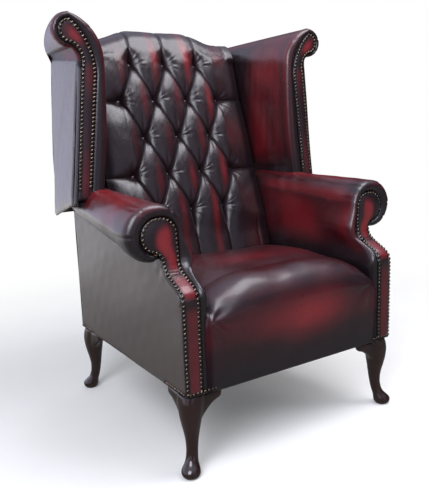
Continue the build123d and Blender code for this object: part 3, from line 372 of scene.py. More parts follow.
def arm_folds(grid, seed):
    """Soft undulation, gathers at the rear of the scroll and cuts in its front border."""
    points = grid.copy()
    x, y, z = np.moveaxis(points, -1, 0)
    rows, count = x.shape
    column = np.arange(count)
    out = points[:, :, ::2] - (338.0, 560.0)
    away_x, away_z = np.moveaxis(out / np.maximum(np.linalg.norm(out, axis=2, keepdims=True), 1e-6), -1, 0)
    angle = np.degrees(np.arctan2(out[:, :, 1], out[:, :, 0]))
    scroll = smooth(WALL_STEPS - 26, WALL_STEPS + 6, column)
    scroll[SCROLL_END:] = 0.0
    soft = waves(points, 95.0, seed, (1, 0.6, 1))
    fine = waves(points, 34.0, seed + 1, (1, 0.35, 1))
    lift = (soft * 1.3 + fine * 0.5) * smooth(95, 140, y) * scroll
    # Gathers where the arm's leather meets the wing
    gather = hump(y, 372.0, 60.0) * smooth(20, 60, angle) * fade(150, 178, angle)
    lift += gather * np.sin(y / 9.5 + angle / 14.0) * 1.2 * scroll
    # Cuts that run from the studs over the border, told by angle, width and depth
    bead = bead_share(rows, ARM_BORDER, 9)
    for at, wide, deep in (
        (128, 2.4, 3.0), (52, 2.2, 2.8), (-2, 1.8, 2.2), (-38, 2.0, 2.6), (-60, 1.8, 2.0), (165, 2.0, 1.6)
    ):
        gap = turn_from(angle, at)
        lift -= bead * deep * hump(gap, 0, wide) * scroll
        lift += bead * deep * 0.35 * hump(gap, wide * 2.4, wide * 1.6) * scroll
    x += away_x * lift * 0.85
    z += away_z * lift * 0.85
    steps = np.linspace(0, 1, ARM_BORDER)
    front = over_border(rows, ARM_BORDER, np.sin(steps * math.pi))
    y -= np.minimum(lift, 0) * front * 0.8
    # The inner edge is fullest where the scroll narrows to its neck
    swell = 1 + over_border(rows, ARM_BORDER, np.sin(steps * math.pi / 2) - 1)
    puff = 1.25 * hump(z, 500.0, 36.0) * fade(90, 250, y) * swell
    puff += 0.45 * hump(z, 412.0, 26.0) * fade(80, 180, y) * swell
    inside = 1.0 - smooth(WALL_STEPS - 4, WALL_STEPS + 14, column)
    x -= 17.0 * puff * inside
    y -= 9.0 * puff * inside * front
    # The curl of the scroll is fullest at its front, outside and below
    grow = hump(turn_from(angle, -55.0), 0, 62.0) * scroll * swell * fade(105, 190, y)
    x += 6.0 * grow * (0.4 + 0.6 * away_x)
    z += 8.0 * grow * np.minimum(away_z, 0)
    # Pull lines on the inner wall near the shoulder
    wall = 1.0 - scroll
    wall[SCROLL_END:] = 0.0
    x -= waves(points, 60.0, seed + 4, (1, 1, 0.5)) * wall * smooth(30, 110, y)
    return points


def arm_wear(grid):
    """Where the red shows through: along the top of the scroll and on the border. Painted shade keeps it dark
    beside the studs and towards the rear, where the arm meets the back.
    """
    x, y, z = np.moveaxis(grid, -1, 0)
    run = arm_run(y)
    angle = np.degrees(np.arctan2(z - blend(561.0, 603.0, run), x - blend(342.0, 306.0, run)))
    wall = 1 - smooth(WALL_STEPS - 4, WALL_STEPS + 8, np.arange(x.shape[1]))
    patch = smooth(-0.9, 0.6, waves(grid, 190.0, 55, (0, 1, 1)))
    top = hump(angle, 72, 54.0) * (0.55 + 0.35 * smooth(110, 190, y)) * (1 - 0.5 * smooth(430, 590, y))
    outer = hump(angle, 25, 32.0) * 0.5 * smooth(90, 190, y)
    inner = hump(angle, 165, 32.0) * 0.62 * smooth(60, 140, y)
    low = smooth(300, 480, z) * 0.42 * (angle > 150)
    wear = np.max((top, outer, inner, low, (0.42 + 0.3 * patch) * wall * smooth(400, 500, z)), axis=0)
    # Painted shade: the red fades out towards the rear, where the arm meets the back
    wear *= 1 - smooth(420, 520, y) * np.maximum(wall, smooth(120, 165, angle))
    # The first rows lie in the shade of the studs
    wear[:7] *= 0.12
    wear[7:13] *= 0.55
    return wear


# Wings

WING_COUNTS = (46, 20, 18, 18, 16, 40)
OUTER_FROM = sum(WING_COUNTS[:5])
WING_BORDER = 13
WING_ROWS = 74
WING_BORDER_END = 391.0
# The plane of the wing's front board, which its facing covers
WING_FACE = 380.0
WING_FRONT = 372.0
WING_LONG = 388.0
WING_LOW = 600.0
# Where the lines of a wing end below, inside the arm
WING_ROOT = 540.0
DISC = (386.0, 1027.0)
DISC_RADIUS = 30


def wing_run(y):
    return (y - WING_FRONT) / WING_LONG


def wing_ring(y):
    """Points across a wing at depth y, from its inner foot round the scroll to its outer foot."""
    run = wing_run(y)
    share = max(run, 0.0) ** 1.3
    roll_x = blend(388.0, 297.0, share)
    radius = blend(46.0, 19.0, share)
    neck = (blend(299.0, 264.5, run), blend(955.0, 1018.0, run))
    under = (blend(386.0, 315.0, run), blend(987.0, 1010.0, run))
    notch = (blend(371.0, 312.0, run), blend(955.0, 1000.0, run))
    low_x = blend(notch[0], blend(416.0, 352.0, run), (notch[1] - WING_LOW) / (notch[1] - WING_ROOT))
    inner = arc((blend(342.0, 264.5, run), WING_ROOT), neck, blend(0.03, 0.004, run), WING_COUNTS[0])
    z = blend(WING_LOW, neck[1], np.linspace(0, 1, WING_COUNTS[0], endpoint=False))
    roll = ((roll_x, DISC[1] + radius), (roll_x + radius, DISC[1]))
    corners = (neck, *roll, under, notch, (low_x, WING_LOW))
    shares = (0.18, QUARTER, blend(QUARTER, 0.1, run), -0.12, -0.004)
    counts = (*WING_COUNTS[1:5], WING_COUNTS[5] - 1)
    inner = xyz(np.interp(z, inner[:, 1], inner[:, 0]), z)
    return np.vstack((inner, open_line(corners, shares, counts), corners[-1]))


def wing_rim():
    """The stud line of the wing facing, matched point by point to the ring of the wing."""
    x, z = DISC
    corners = (
        (360.5, WING_LOW), (327, 900), (x, z + DISC_RADIUS), (x + DISC_RADIUS, z), (x, z - DISC_RADIUS),
        (363, 940), (396, WING_LOW),
    )
    counts = (*WING_COUNTS[:5], WING_COUNTS[5] - 1)
    return np.vstack((open_line(corners, (0, 0.14, QUARTER, QUARTER, -0.2, 0), counts), corners[-1]))


def wing_body(side, seed):
    """The padded wing as one closed form."""
    rim = wing_rim()
    first = wing_ring(WING_BORDER_END)
    bulge = 9.5 * smooth(3, 15, np.hypot(*(first - rim).T))
    depths = (WING_FACE + 2.0, WING_FACE - bulge, WING_FACE - bulge * 0.8, WING_BORDER_END)
    rows = [xyz(flat[:, 0], y, flat[:, 1]) for flat, y in border(rim, first, 0.25, depths, WING_BORDER)]
    start = rows[-1]
    column = np.arange(len(rim))
    for t in np.linspace(0, 1, WING_ROWS)[1:]:
        ring = start.copy()
        z = start[:, 2]
        # The rear leans, so the depth of a point follows from its height: three rounds settle it
        for _ in range(3):
            y = blend(start[:, 1], rear_y(z) - 4.0, t)
            levels = np.round(y / 2.0) * 2.0
            for level in np.unique(levels):
                pick = levels == level
                part = ((y - level) / 2.0)[pick][:, None]
                ring[pick, ::2] = blend(wing_ring(level)[pick], wing_ring(level + 2.0)[pick], part)
            z = ring[:, 2]
        ring[:, 1] = y
        ring[:, 0] -= (column > OUTER_FROM) * 5.0 * smooth(0, 0.03, t)
        rows.append(ring)
    grid = wing_folds(np.array(rows), seed)
    ends = ((350.0, 440.0, 1000.0), grid[-1].mean(axis=0) - (0.0, 45.0, 0.0))
    # Under the roll the hide turns in, out of the light
    shade = 0.85 * ((column >= OUTER_FROM - WING_COUNTS[4] - 5) & (column < OUTER_FROM + 2))
    paints = {"wear": wing_wear(grid), "crease": np.tile(shade, len(grid))}
    return make_mesh(f"{SIDES[side]}_wing_leather", *capped(grid, ends), side, **paints)


def wing_folds(grid, seed):
    """Soft undulation inside, folds at the foot and cuts in the border round the scroll."""
    points = grid.copy()
    x, y, z = np.moveaxis(points, -1, 0)
    inner = np.arange(x.shape[1]) < WING_COUNTS[0] + 8
    behind = smooth(WING_BORDER_END, 430, y)
    soft = waves(points, 120.0, seed, (1, 0.8, 0.7))
    fine = waves(points, 42.0, seed + 2, (1, 1, 0.5))
    lift = (soft * 1.5 + fine * 0.45) * behind * inner
    # Folds at the foot of the wing, where its leather turns in over the arm
    foot = fade(640, 720, z) * behind * inner
    lift += foot * np.sin(z / 6.2 + y / 70.0) * 1.5
    x -= lift
    # Cuts over the border near the scroll, told by angle, width and depth
    angle = np.degrees(np.arctan2(z - DISC[1], x - DISC[0]))
    bead = bead_share(len(x), WING_BORDER, 7)
    near = 1 - smooth(66, 84, np.hypot(z - DISC[1], x - DISC[0]))
    for at, wide, deep in ((168, 2.4, 2.6), (96, 3.0, 1.8), (20, 3.0, 1.8), (-38, 3.0, 1.8)):
        gap = turn_from(angle, at)
        cut = bead * hump(gap, 0, wide) * near * deep
        cut -= bead * hump(gap, -wide * 2.2, wide * 1.5) * near * deep * 0.4
        away = points[:, :, ::2] - DISC
        away /= np.maximum(np.linalg.norm(away, axis=2, keepdims=True), 1e-6)
        points[:, :, ::2] -= away * cut[:, :, None]
        y += cut * 0.5
    return points


def wing_wear(grid):
    _, y, z = np.moveaxis(grid, -1, 0)
    middle = smooth(625, 720, z) * (1 - smooth(930, 1040, z) * 0.45)
    # Painted shade: the red fades out towards the rear, where the wing meets the back
    across = smooth(384, 425, y) * fade(500, 600, y)
    patch = smooth(-1.0, 0.6, waves(grid, 210.0, 57, (0, 1, 1)))
    front = 0.52 * (hump(y, 388.0, 16.0) * smooth(610, 760, z))
    inside = (0.38 + 0.24 * patch) * middle * across + 0.05
    wear = np.max((inside, front, smooth(1020, 1050, z) * 0.35), axis=0)
    # Painted shade: the first rows lie in the shade of the studs
    wear[:6] *= 0.1
    wear[6:11] *= 0.8
    wear[:, OUTER_FROM:] *= 0.1
    return wear


# The tufted back. Its columns count in half pitches from the middle, its rows down from the top
# buttons. A run is a distance up the leaning plane, told by height, and on round the crest.

BACK_SLOPE = 0.318
BACK_ANGLE = math.atan(BACK_SLOPE)
HALF_PITCH = 57.0
ROW_PITCH = 108.0
TOP_BUTTON = 972.0
BEND = 1036.0
CREST_RADIUS = 33.0
LOW_RUN = 405.0
HALF_BACK = 261.0
LAST_COLUMN = 3
LAST_ROW = 4


def back_point(x, run, height):
    """A point of the back's face: up the leaning plane, then round the crest."""
    rise = np.minimum(run, BEND)
    above = np.clip(rise - TOP_BUTTON, 0, None) / (BEND - TOP_BUTTON)
    # The crest drops from its middle to its sides
    rise = rise - 32.0 * smooth(88.0, 214.0, np.abs(x)) * above
    angle = BACK_ANGLE + np.clip(run - BEND, 0, None) / CREST_RADIUS
    y0 = 622.0 - (TOP_BUTTON - rise) * BACK_SLOPE + CREST_RADIUS * math.cos(BACK_ANGLE)
    z0 = rise - CREST_RADIUS * math.sin(BACK_ANGLE)
    reach = CREST_RADIUS + height
    return xyz(x, y0 - reach * np.cos(angle), z0 + reach * np.sin(angle))


def button_places():
    """The x and the run of each button."""
    return [
        (column * HALF_PITCH, TOP_BUTTON - row * ROW_PITCH)
        for row in range(LAST_ROW + 1)
        for column in range(-LAST_COLUMN, LAST_COLUMN + 1)
        if (column + row) % 2 == 0
    ]


def narrow(distance, width):
    """0 in a pleat and 1 beside it."""
    return 1 - 1 / (1 + (distance / width) ** 2)


def tuft_cell(x, run):
    """Where a point lies in its tuft: shares across both families of pleats, 0 and 1 on a pleat."""
    column = np.clip(x / HALF_PITCH, -LAST_COLUMN, LAST_COLUMN)
    row = np.clip((TOP_BUTTON - run) / ROW_PITCH, 0, LAST_ROW)
    p = (column + row) / 2.0
    q = (column - row) / 2.0
    return p - np.floor(p), q - np.floor(q)


def to_pleat(share):
    """0 on a pleat, 1 in the middle between two."""
    return 1 - np.abs(2 * share - 1)


def level_share(value):
    """0 where a straight pleat runs, at whole numbers, and 1 halfway between two."""
    return np.abs(value - np.round(value)) * 2.0


def tuft_height(x, run):
    """How far the leather stands out of the button plane, with pleats between the buttons."""
    column = x / HALF_PITCH
    row = (TOP_BUTTON - run) / ROW_PITCH
    fp, fq = tuft_cell(x, run)
    broad = 16 * fp * (1 - fp) * fq * (1 - fq)
    # The crown of each pillow lies a little above its middle
    tp = fp + 0.10 * broad
    tq = fq - 0.10 * broad
    broad = np.clip(16 * tp * (1 - tp) * tq * (1 - tq), 0, 1)
    dp, dq = to_pleat(fp), to_pleat(fq)
    seam = 21.0 * (1 - (1 - np.maximum(dp, dq)) ** 2.3)
    diamond = seam + (35.0 - seam) * (0.30 * narrow(dp, 0.05) * narrow(dq, 0.05) + 0.70 * broad ** 0.7)
    # Above and below the outer rows the pleats run straight to the edges
    straight = level_share(column / 2.0)
    above = 26.0 - 8.0 * smooth(BEND - 36.0, BEND + 22.0, run) + 4.0 * narrow(straight, 0.05)
    below = 8.0 + 3.0 * narrow(straight, 0.06) + 7.0 * np.sin(np.clip(straight, 0, 1) * math.pi / 2)
    height = blend(diamond, above, smooth(0.0, 0.5, -row))
    height = blend(height, below, smooth(0.0, 0.85, row - LAST_ROW))
    # Outside the last buttons level pleats run to the sides
    out = np.clip((np.abs(column) - LAST_COLUMN) / 1.55, 0, 1)
    level = level_share(row / 2.0 - 0.5)
    beside = 17.0 + 3.0 * narrow(level, 0.04) + 6.0 * np.sin(np.clip(level, 0, 1) * math.pi / 2)
    beside = beside * (1 - 0.35 * smooth(0.3, 1, out))
    inside_rows = smooth(-0.6, 0.0, row) * fade(4.0, 4.8, row)
    return blend(height, beside, np.where(np.abs(column) > LAST_COLUMN, out ** 0.6 * inside_rows, 0))


def deep_back():
    """The deep-buttoned back: a dense face over the button plane, closed behind."""
    top_run = BEND + CREST_RADIUS * math.radians(150.0)
    runs = np.concatenate((np.linspace(LOW_RUN, BEND, 341), np.linspace(BEND, top_run, 44)[1:]))
    x, run = np.meshgrid(np.linspace(-HALF_BACK, HALF_BACK, 281), runs)
    height = back_detail(x, run, tuft_height(x, run))
    flat = back_point(x, run, height).reshape(-1, 3)
    # Close behind: each edge point goes back to a plane behind the padding
    back = back_point(x, np.minimum(run, BEND), -36.0).reshape(-1, 3)
    ids = np.arange(x.size).reshape(x.shape)
    ring = np.concatenate((ids[0], ids[1:, -1], ids[-1, -2::-1], ids[-2:0:-1, 0])).tolist()
    rear = [flat[i] + (0, -6.0, -2.0) if i >= ids[-1, 0] else back[i] for i in ring]
    faces = sheet_faces(*x.shape, False)
    base = len(flat)
    n = len(ring)
    for k in range(n):
        m = (k + 1) % n
        faces += [(ring[m], ring[k], base + k, base + m), (base + m, base + k, base + n)]
    paints = {"wear": back_wear(x, run), "crease": back_creases(x, run)}
    return make_mesh("buttoned_back", np.vstack((flat, rear, back.mean(axis=0))), faces, **paints)


def back_detail(x, run, height):
    """Small folds that run from the buttons, and slack between the pleats."""
    flat = xyz(x, run)
    made = height + waves(flat, 70.0, 31) * 0.6 + waves(flat, 22.0, 32) * 0.12
    for number, (button_x, button_run) in enumerate(button_places()):
        dx = x - button_x
        dr = run - button_run
        far = np.hypot(dx, dr)
        angle = np.arctan2(dr, dx)
        near = hump(far, 27.0, 14.0)
        # Most of the small folds run to the sitter's left, where the hide was pulled last
        pulled = np.clip(np.cos(angle - 0.25), 0, 1) ** 1.5
        phase = number * 1.7
        made -= near * pulled * (np.sin(angle * 13 + phase) * 0.55 + np.sin(angle * 19 - phase) * 0.3)
        made -= 0.5 * near * np.sin(angle * (5 + number % 3) + phase)
        # The leather is drawn right in under the button
        made -= 3.0 * hump(far, 0, 17.0) * smooth(3, 14, height)
    return made


def back_creases(x, run):
    """Painted shade, where the hide is folded out of the light: in the pleats and close above each button."""
    fp, fq = tuft_cell(x, run)
    row = (TOP_BUTTON - run) / ROW_PITCH
    made = hump(np.minimum(to_pleat(fp), to_pleat(fq)), 0, 0.055) * (1 - 0.6 * smooth(0.3, 0.7, -row))
    for button_x, button_run in button_places():
        dx = x - button_x + 4.0
        dr = run - button_run - 7.0
        made = np.maximum(made, 0.95 * np.exp(-(dx * dx + dr * dr) / 15.0 ** 2))
    # Painted shade at its sides, where the back sinks into the fold beside the wings and arms
    return np.maximum(made, 0.9 * smooth(222, 246, np.abs(x)) * fade(1000, 1040, run))


def back_wear(x, run):
    """Where the red shows through: on one flank of each tuft, most of all to the right."""
    patch = smooth(-1.0, 0.5, waves(xyz(x, run), 260.0, 41))
    fp, fq = tuft_cell(x, run)
    row = (TOP_BUTTON - run) / ROW_PITCH
    band = hump(fp + fq - 1, 0.25, 0.24) * hump(fp - fq, 0, 0.6)
    band *= smooth(0.0, 0.25, to_pleat(fp)) * smooth(0.0, 0.25, to_pleat(fq))
    column = x / HALF_PITCH / 2.0
    crest = hump(column - np.floor(column), 0.70, 0.19)
    crest = crest * smooth(-0.2, 0.2, -row) * fade(0.35, 0.75, -row)
    right = smooth(-330, 150, x) * fade(225, 248, x)
    made = (0.60 * band + 0.46 * crest) * (0.4 + 0.6 * right) * (0.5 + 0.5 * patch)
    return made + 0.06 * fade(225, 248, np.abs(x))


# Seat

SEAT_COUNTS = (44, 34, 66, 6, 10, 22)
# The steps along its outline where its front and its top end
SEAT_FRONT_END = SEAT_COUNTS[0] + 10
SEAT_TOP_END = sum(SEAT_COUNTS[:4])
SEAT_HALF = 261.0


def seat_ring(share):
    """Side outline of the seat at a share of its half width, as y and z."""
    crown = 1 - abs(share) ** 4
    nose = (-blend(5.0, 16.0, crown), blend(345.0, 372.0, crown))
    crest = (84.0, blend(386.0, 441.0, crown))
    fall = blend(387.0, 401.0, crown)
    corners = ((-5.0, BOTTOM), nose, crest, (432.0, fall), (455.0, fall - 6.0), (455.0, BOTTOM))
    return closed_line(corners, (0.0155, 0.2, blend(0.02, 0.077, crown), 0, 0, 0), SEAT_COUNTS)


def tight_seat():
    """The seat as one closed form of side outlines, from one arm to the other."""
    middle = np.linspace(-0.9, 0.9, 110)[1:-1]
    shares = np.concatenate((np.linspace(-1, -0.9, 12), middle, np.linspace(0.9, 1, 12)))
    rows = []
    for share in shares:
        y, z = seat_ring(share).T
        wide = SEAT_HALF + 13.0 * fade(2, 26, y) * fade(372, 400, z)
        rows.append(xyz(wide * share, y, z))
    grid = np.array(rows)
    # Round the two side edges of the top and nose
    edge = np.clip((np.abs(shares) - 0.955) / 0.045, 0, 1)
    drop = 9.0 * (1 - np.sqrt(1 - edge ** 2))[:, None]
    grid[:, SEAT_COUNTS[0] - 6:SEAT_TOP_END, 2] -= drop
    grid[:, :SEAT_FRONT_END, 1] += drop * 0.5
    grid = seat_folds(grid)
    x, _, z = np.moveaxis(grid, -1, 0)
    # Painted shade along the sides of the top, where the seat tucks in beside the arms
    tucked_shade = 0.9 * smooth(252, 266, np.abs(x)) * fade(372, 400, z)
    ends = (grid[0].mean(axis=0), grid[-1].mean(axis=0))
    return make_mesh("tight_seat", *capped(grid, ends), wear=seat_wear(grid), crease=tucked_shade)


def seat_folds(grid):
    """Slack over the whole seat, and folds at its front corners and beside the arms."""
    points = grid.copy()
    x, y, z = np.moveaxis(points, -1, 0)
    soft = waves(points, 150.0, 51)
    fine = waves(points, 46.0, 52, (0.6, 1, 0.6))
    face = smooth(205, 240, z)
    top = smooth(350, 400, z) * fade(380, 440, y)
    front = fade(0, 40, y) * face * (1 - top)
    z += (soft * 1.4 + fine * 0.4) * top
    y -= (soft * 1.0 + fine * 0.3) * front
    # Folds that fan out of the two front corners
    for side in SIDES:
        dx, dy, dz = x - side * 256.0, y - 6.0, z - 352.0
        far = np.sqrt(dx * dx + dz * dz + dy * dy)
        angle = np.degrees(np.arctan2(dz + dy * 0.5, -dx * side + 1e-6))
        spread = np.sin(np.radians(angle) * 6.5 + 0.6) * hump(far, 34.0, 30.0)
        spread *= 1 - smooth(254, 266, np.abs(x))
        y -= spread * 2.6 * (1 - top * 0.7) * face
        z += spread * 2.0 * top
    # The leather dips where it is pulled down beside the arms
    z += smooth(205, 256, np.abs(x)) * top * np.sin(y / 21.0) * 0.9
    return points


def seat_wear(grid):
    x, y, z = np.moveaxis(grid, -1, 0)
    patch = waves(grid, 210.0, 57)
    front = hump(z, 330.0, 62.0) * fade(0, 60, y)
    front = 0.72 * front * (0.35 + 0.65 * hump(x, 20.0, 125.0))
    top = smooth(385, 425, z) * smooth(60, 160, y) * fade(330, 430, y)
    top = top * (0.36 + 0.16 * patch) * (1 - 0.4 * smooth(180, 250, np.abs(x)))
    rear = 0.24 * smooth(380, 400, z) * fade(400, 440, y)
    return np.max((front, top, rear, 0.10 * smooth(215, 260, z)), axis=0)


# Panels and facings: a flat outline, cut into a grid, padded, and laid on its surface


def cut_grid(outline, pitch):
    """A flat sheet inside an outline, cut into squares. Returns its points, faces and rim."""
    made = bmesh.new()
    made.faces.new([made.verts.new((u, v, 0.0)) for u, v in outline])
    low = outline.min(axis=0)
    high = outline.max(axis=0)
    for axis, way in enumerate((Vector((1, 0, 0)), Vector((0, 1, 0)))):
        steps = int((high[axis] - low[axis]) / pitch)
        for i in range(1, steps + 1):
            at = low[axis] + (high[axis] - low[axis]) * i / (steps + 1)
            geometry = made.verts[:] + made.edges[:] + made.faces[:]
            bmesh.ops.bisect_plane(made, geom=geometry, plane_co=way * at, plane_no=way, dist=1e-4)
    bmesh.ops.remove_doubles(made, verts=made.verts, dist=0.05)
    made.verts.index_update()
    points = np.array([v.co[:2] for v in made.verts])
    faces = [tuple(v.index for v in f.verts) for f in made.faces]
    rim = [tuple(v.index for v in e.verts) for e in made.edges if e.is_boundary]
    made.free()
    return points, faces, rim


def rim_distance(points, outline):
    """How far each point lies from the outline."""
    dense = []
    for a, b in zip(outline, np.roll(outline, -1, axis=0)):
        count = max(int(np.linalg.norm(b - a) / 1.5), 1)
        dense.append(a + (b - a) * (np.arange(count) / count)[:, None])
    dense = np.vstack(dense)
    tree = kdtree.KDTree(len(dense))
    for i, (u, v) in enumerate(dense):
        tree.insert((u, v, 0.0), i)
    tree.balance()
    return np.array([tree.find((u, v, 0.0))[2] for u, v in points])


def laid_panel(name, outline, pitch, place, pad, thick, side, wear):
    """A padded sheet: pad gives its height from the rim distance, place lays it down."""
    points, faces, rim = cut_grid(outline, pitch)
    distance = rim_distance(points, outline)
    u, v = points.T
    n = len(points)
    edges = {edge for face in faces for edge in zip(face, face[1:] + face[:1])}
    faces += [tuple(n + i for i in reversed(face)) for face in faces]
    for a, b in rim:
        if (a, b) in edges:
            a, b = b, a
        faces.append((a, b, n + b, n + a))
    sheets = (place(u, v, pad(u, v, distance)), place(u, v, -thick))
    return make_mesh(name, np.vstack(sheets), faces, side, wear=wear(u, v, distance))


def arm_facing(side):
    def pad(x, along, distance):
        scroll = smooth(500, 540, along)
        crown = 5.0 * (1 - np.exp(-distance / 6.5)) + 1.0 + 3.0 * scroll * (1 - np.exp(-distance / 13.0))
        # Creases where the front turns back over the shoulder and up again
        for at, deep, wide in ((423.0, 2.2, 3.2), (497.0, 2.6, 4.0)):
            crown -= deep * hump(along - at, (x - 306) * 0.06, wide)
        return crown + waves(xyz(x, along), 60.0, 61 + side) * 0.35

    def wear(x, along, distance):
        middle = blend(306.0, 325.0, smooth(530, 575, along))
        wide = blend(13.0, 21.0, smooth(520, 575, along))
        patch = np.exp(-((x - middle) / wide) ** 4) * smooth(5, 11, distance)
        patch *= 1 - smooth(596, 632, along + np.abs(x - 318) * 0.5)
        ramp = smooth(412, 430, along) * fade(470, 500, along) * smooth(6, 11, distance)
        low = 0.42 * smooth(6, 12, distance) * fade(380, 420, along)
        return np.max((0.76 * patch * smooth(470, 520, along), 0.72 * ramp, low), axis=0) + 0.02

    line = facing_line((1, 1, 1, 14, 14, 14, 8, 1))
    return laid_panel(f"{SIDES[side]}_arm_front", line, 3.0, fold, pad, 3.0, side, wear)


def wing_facing_line(foot_z, counts):
    x, z = DISC
    corners = (
        (397, foot_z), (360, foot_z), (327, 900), (x, z + DISC_RADIUS), (x + DISC_RADIUS, z),
        (x, z - DISC_RADIUS), (363, 940),
    )
    return closed_line(corners, (0, 0, 0.14, QUARTER, QUARTER, -0.2, 0), counts)


def wing_facing(side):
    def place(x, z, height):
        return xyz(x, WING_FACE - height, z)

    def pad(x, z, distance):
        return 5.0 * (1 - np.exp(-distance / 6.0)) + 0.5 + waves(xyz(x, z), 60.0, 71 + side) * 0.3

    def wear(x, z, distance):
        reach = ((x - 376.0) * 0.8 + (z - 1018.0) * 0.6) / 30.0
        scroll = np.exp(-reach ** 2 - ((z - 1015.0 - (x - 376.0)) / 22.0) ** 2)
        inner = smooth(6, 13, distance) * (0.24 + 0.14 * np.sin(z / 47.0))
        return np.maximum(0.78 * scroll * smooth(5, 12, distance), inner * fade(930, 970, z)) + 0.02

    line = wing_facing_line(612, (1, 1, 14, 12, 12, 10, 1))
    return laid_panel(f"{SIDES[side]}_wing_front", line, 3.0, place, pad, 3.0, side, wear)


def outside_arm(side):
    front = [(y + 4.4, z) for y, z in FRONT_LINE if z < 500]
    outline = np.array(front + [(86.0, 505.0), (600.0, 569.0), (645.0, 569.0), (645.0, BOTTOM)])

    def place(y, z, height):
        return xyz(side_x(y) + height, y, z)

    def pad(y, z, distance):
        bow = 2.2 * hill(y / 645.0) * hill((z - 195) / 350.0)
        # A pucker where the panel, the scroll and the front meet
        far = np.hypot(y - 92.0, z - 488.0)
        angle = np.arctan2(z - 500.0, y - 80.0)
        pucker = -3.0 * hump(far, 0, 12.0) + 1.4 * np.sin(angle * 7.0) * hump(far, 22.0, 16.0)
        slack = waves(xyz(y, z), 210.0, 81) * 1.0 + waves(xyz(y, z), 60.0, 82) * 0.25
        return -2.2 * np.exp(-distance / 2.2) + bow + pucker + slack + 0.6

    def wear(y, z, distance):
        return 0.16 * smooth(15, 60, distance) * smooth(-0.2, 1.0, waves(xyz(y, z), 260.0, 85))

    return laid_panel(f"{SIDES[side]}_arm_side", outline, 7.0, place, pad, 2.5, side, wear)


def outside_wing(side):
    front = 392.5
    steps = np.linspace(front, 716.0, 12)
    top = xyz(steps, blend(955.0, 1000.0, wing_run(steps)) + 4.0)
    heights = np.linspace(990.0, 640.0, 12)
    rear = xyz(rear_y(heights) - 3.0, heights)
    outline = np.vstack((top, rear, (645.0, 552.0), (620.0, 549.0), (front, 602.0)))

    def place(y, z, height):
        run = wing_run(y)
        notch_z = blend(955.0, 1000.0, run)
        share = (notch_z - z) / (notch_z - WING_ROOT)
        outer = blend(blend(371.0, 312.0, run), blend(416.0, 350.0, run), share) + 2.6 * hill(share)
        return xyz(outer + height, y, z)

    def pad(y, z, distance):
        slack = waves(xyz(y, z), 190.0, 91) * 1.1 + waves(xyz(y, z), 52.0, 92) * 0.3
        return -2.6 * np.exp(-distance / 2.6) + 1.6 * (1 - np.exp(-distance / 30.0)) + slack + 0.6

    def wear(y, z, distance):
        return np.full(len(y), 0.05)

    return laid_panel(f"{SIDES[side]}_wing_side", outline, 7.0, place, pad, 2.5, side, wear)


def outside_back():
    low = ((REAR_HALF, BOTTOM), (REAR_HALF, 553.0))
    right = np.array((*low, (366.0, 553.0), (354.0, 720.0), (331.0, 900.0), (317.0, 996.0)))
    arch = arc((REAR_HALF, 1016.0), (-REAR_HALF, 1016.0), -0.078, 24)
    outline = np.vstack((right, arch, (-REAR_HALF, 1016.0), right[::-1] * (-1, 1)))

    def place(x, z, height):
        lean = math.atan(LEAN[0] / LEAN[1]) * smooth(620, 660, z)
        return xyz(x, rear_y(z) + height * np.cos(lean), z - height * np.sin(lean))

    def pad(x, z, distance):
        slack = waves(xyz(x, z), 230.0, 95) * 0.8
        return -2.4 * np.exp(-distance / 2.6) + slack + waves(xyz(x, z), 60.0, 96) * 0.2

    def wear(x, z, distance):
        return 0.14 * smooth(10, 60, distance) * smooth(-0.4, 1.0, waves(xyz(x, z), 300.0, 97))

    return laid_panel("outside_back_leather", outline, 9.0, place, pad, 2.3, 1, wear)


# Studs and buttons

STUD_PITCH = 10.1
STUD_RADIUS = 4.5
STUD_HIGH = 3.2
STUD_INSET = 4.3


def sideways(way, limit):
    """A direction square to another one."""
    across = np.cross(way, (0.0, 0.0, 1.0) if abs(way[2]) < limit else (1.0, 0.0, 0.0))
    return across / np.linalg.norm(across)


def turned_head(profile, sides):
    """A turned form from its top point down, as points and faces. Its end is a point or a flat face."""
    points = [(0.0, 0.0, profile[0][1])]
    pointed = profile[-1][0] == 0
    rings = profile[1:-1] if pointed else profile[1:]
    for radius, high in rings:
        for j in range(sides):
            angle = 2 * math.pi * j / sides
            points.append((radius * math.cos(angle), radius * math.sin(angle), high))
    faces = [(0, 1 + j, 1 + (j + 1) % sides) for j in range(sides)]
    for i in range(len(rings) - 1):
        a = 1 + i * sides
        for j in range(sides):
            k = (j + 1) % sides
            faces.append((a + j, a + sides + j, a + sides + k, a + k))
    last = 1 + (len(rings) - 1) * sides
    if pointed:
        points.append((0.0, 0.0, profile[-1][1]))
        faces += [(last + (j + 1) % sides, last + j, last + sides) for j in range(sides)]
    else:
        faces.append(tuple(last + j for j in reversed(range(sides))))
    return np.array(points), faces


def studs(name, places, normals, side):
    """One piece of all the studs of a row. Every head leans and stands a little differently."""
    turns = np.arange(5) / 4 * math.pi / 2
    shape, faces = turned_head([(math.sin(turn), math.cos(turn)) for turn in turns], 10)
    made = np.random.default_rng(len(places) + 7)
    heads = []
    for place, normal in zip(places, normals):
        normal = normal + made.normal(size=3) * 0.05
        normal /= np.linalg.norm(normal)
        u = -sideways(normal, 0.8)
        v = np.cross(normal, u)
        radius = STUD_RADIUS * made.uniform(0.97, 1.03)
        flat = shape[:, :1] * u + shape[:, 1:2] * v
        heads.append((place + radius * flat + STUD_HIGH * shape[:, 2:] * normal, faces))
    return make_mesh(name, *joined(heads), side)


def stud_line(line):
    """A facing's outline from foot to foot, moved a little inwards."""
    path = np.vstack((line[1:], line[:1]))
    return path + ways(path)[:, ::-1] * (STUD_INSET, -STUD_INSET)


def evenly(points):
    """Places one stud pitch apart along a line of points."""
    steps = np.concatenate(((0,), np.cumsum(np.linalg.norm(np.diff(points, axis=0), axis=1))))
    at = np.linspace(0, steps[-1], int(round(steps[-1] / STUD_PITCH)) + 1)
    return np.interp(at, steps, points[:, 0]), np.interp(at, steps, points[:, 1])


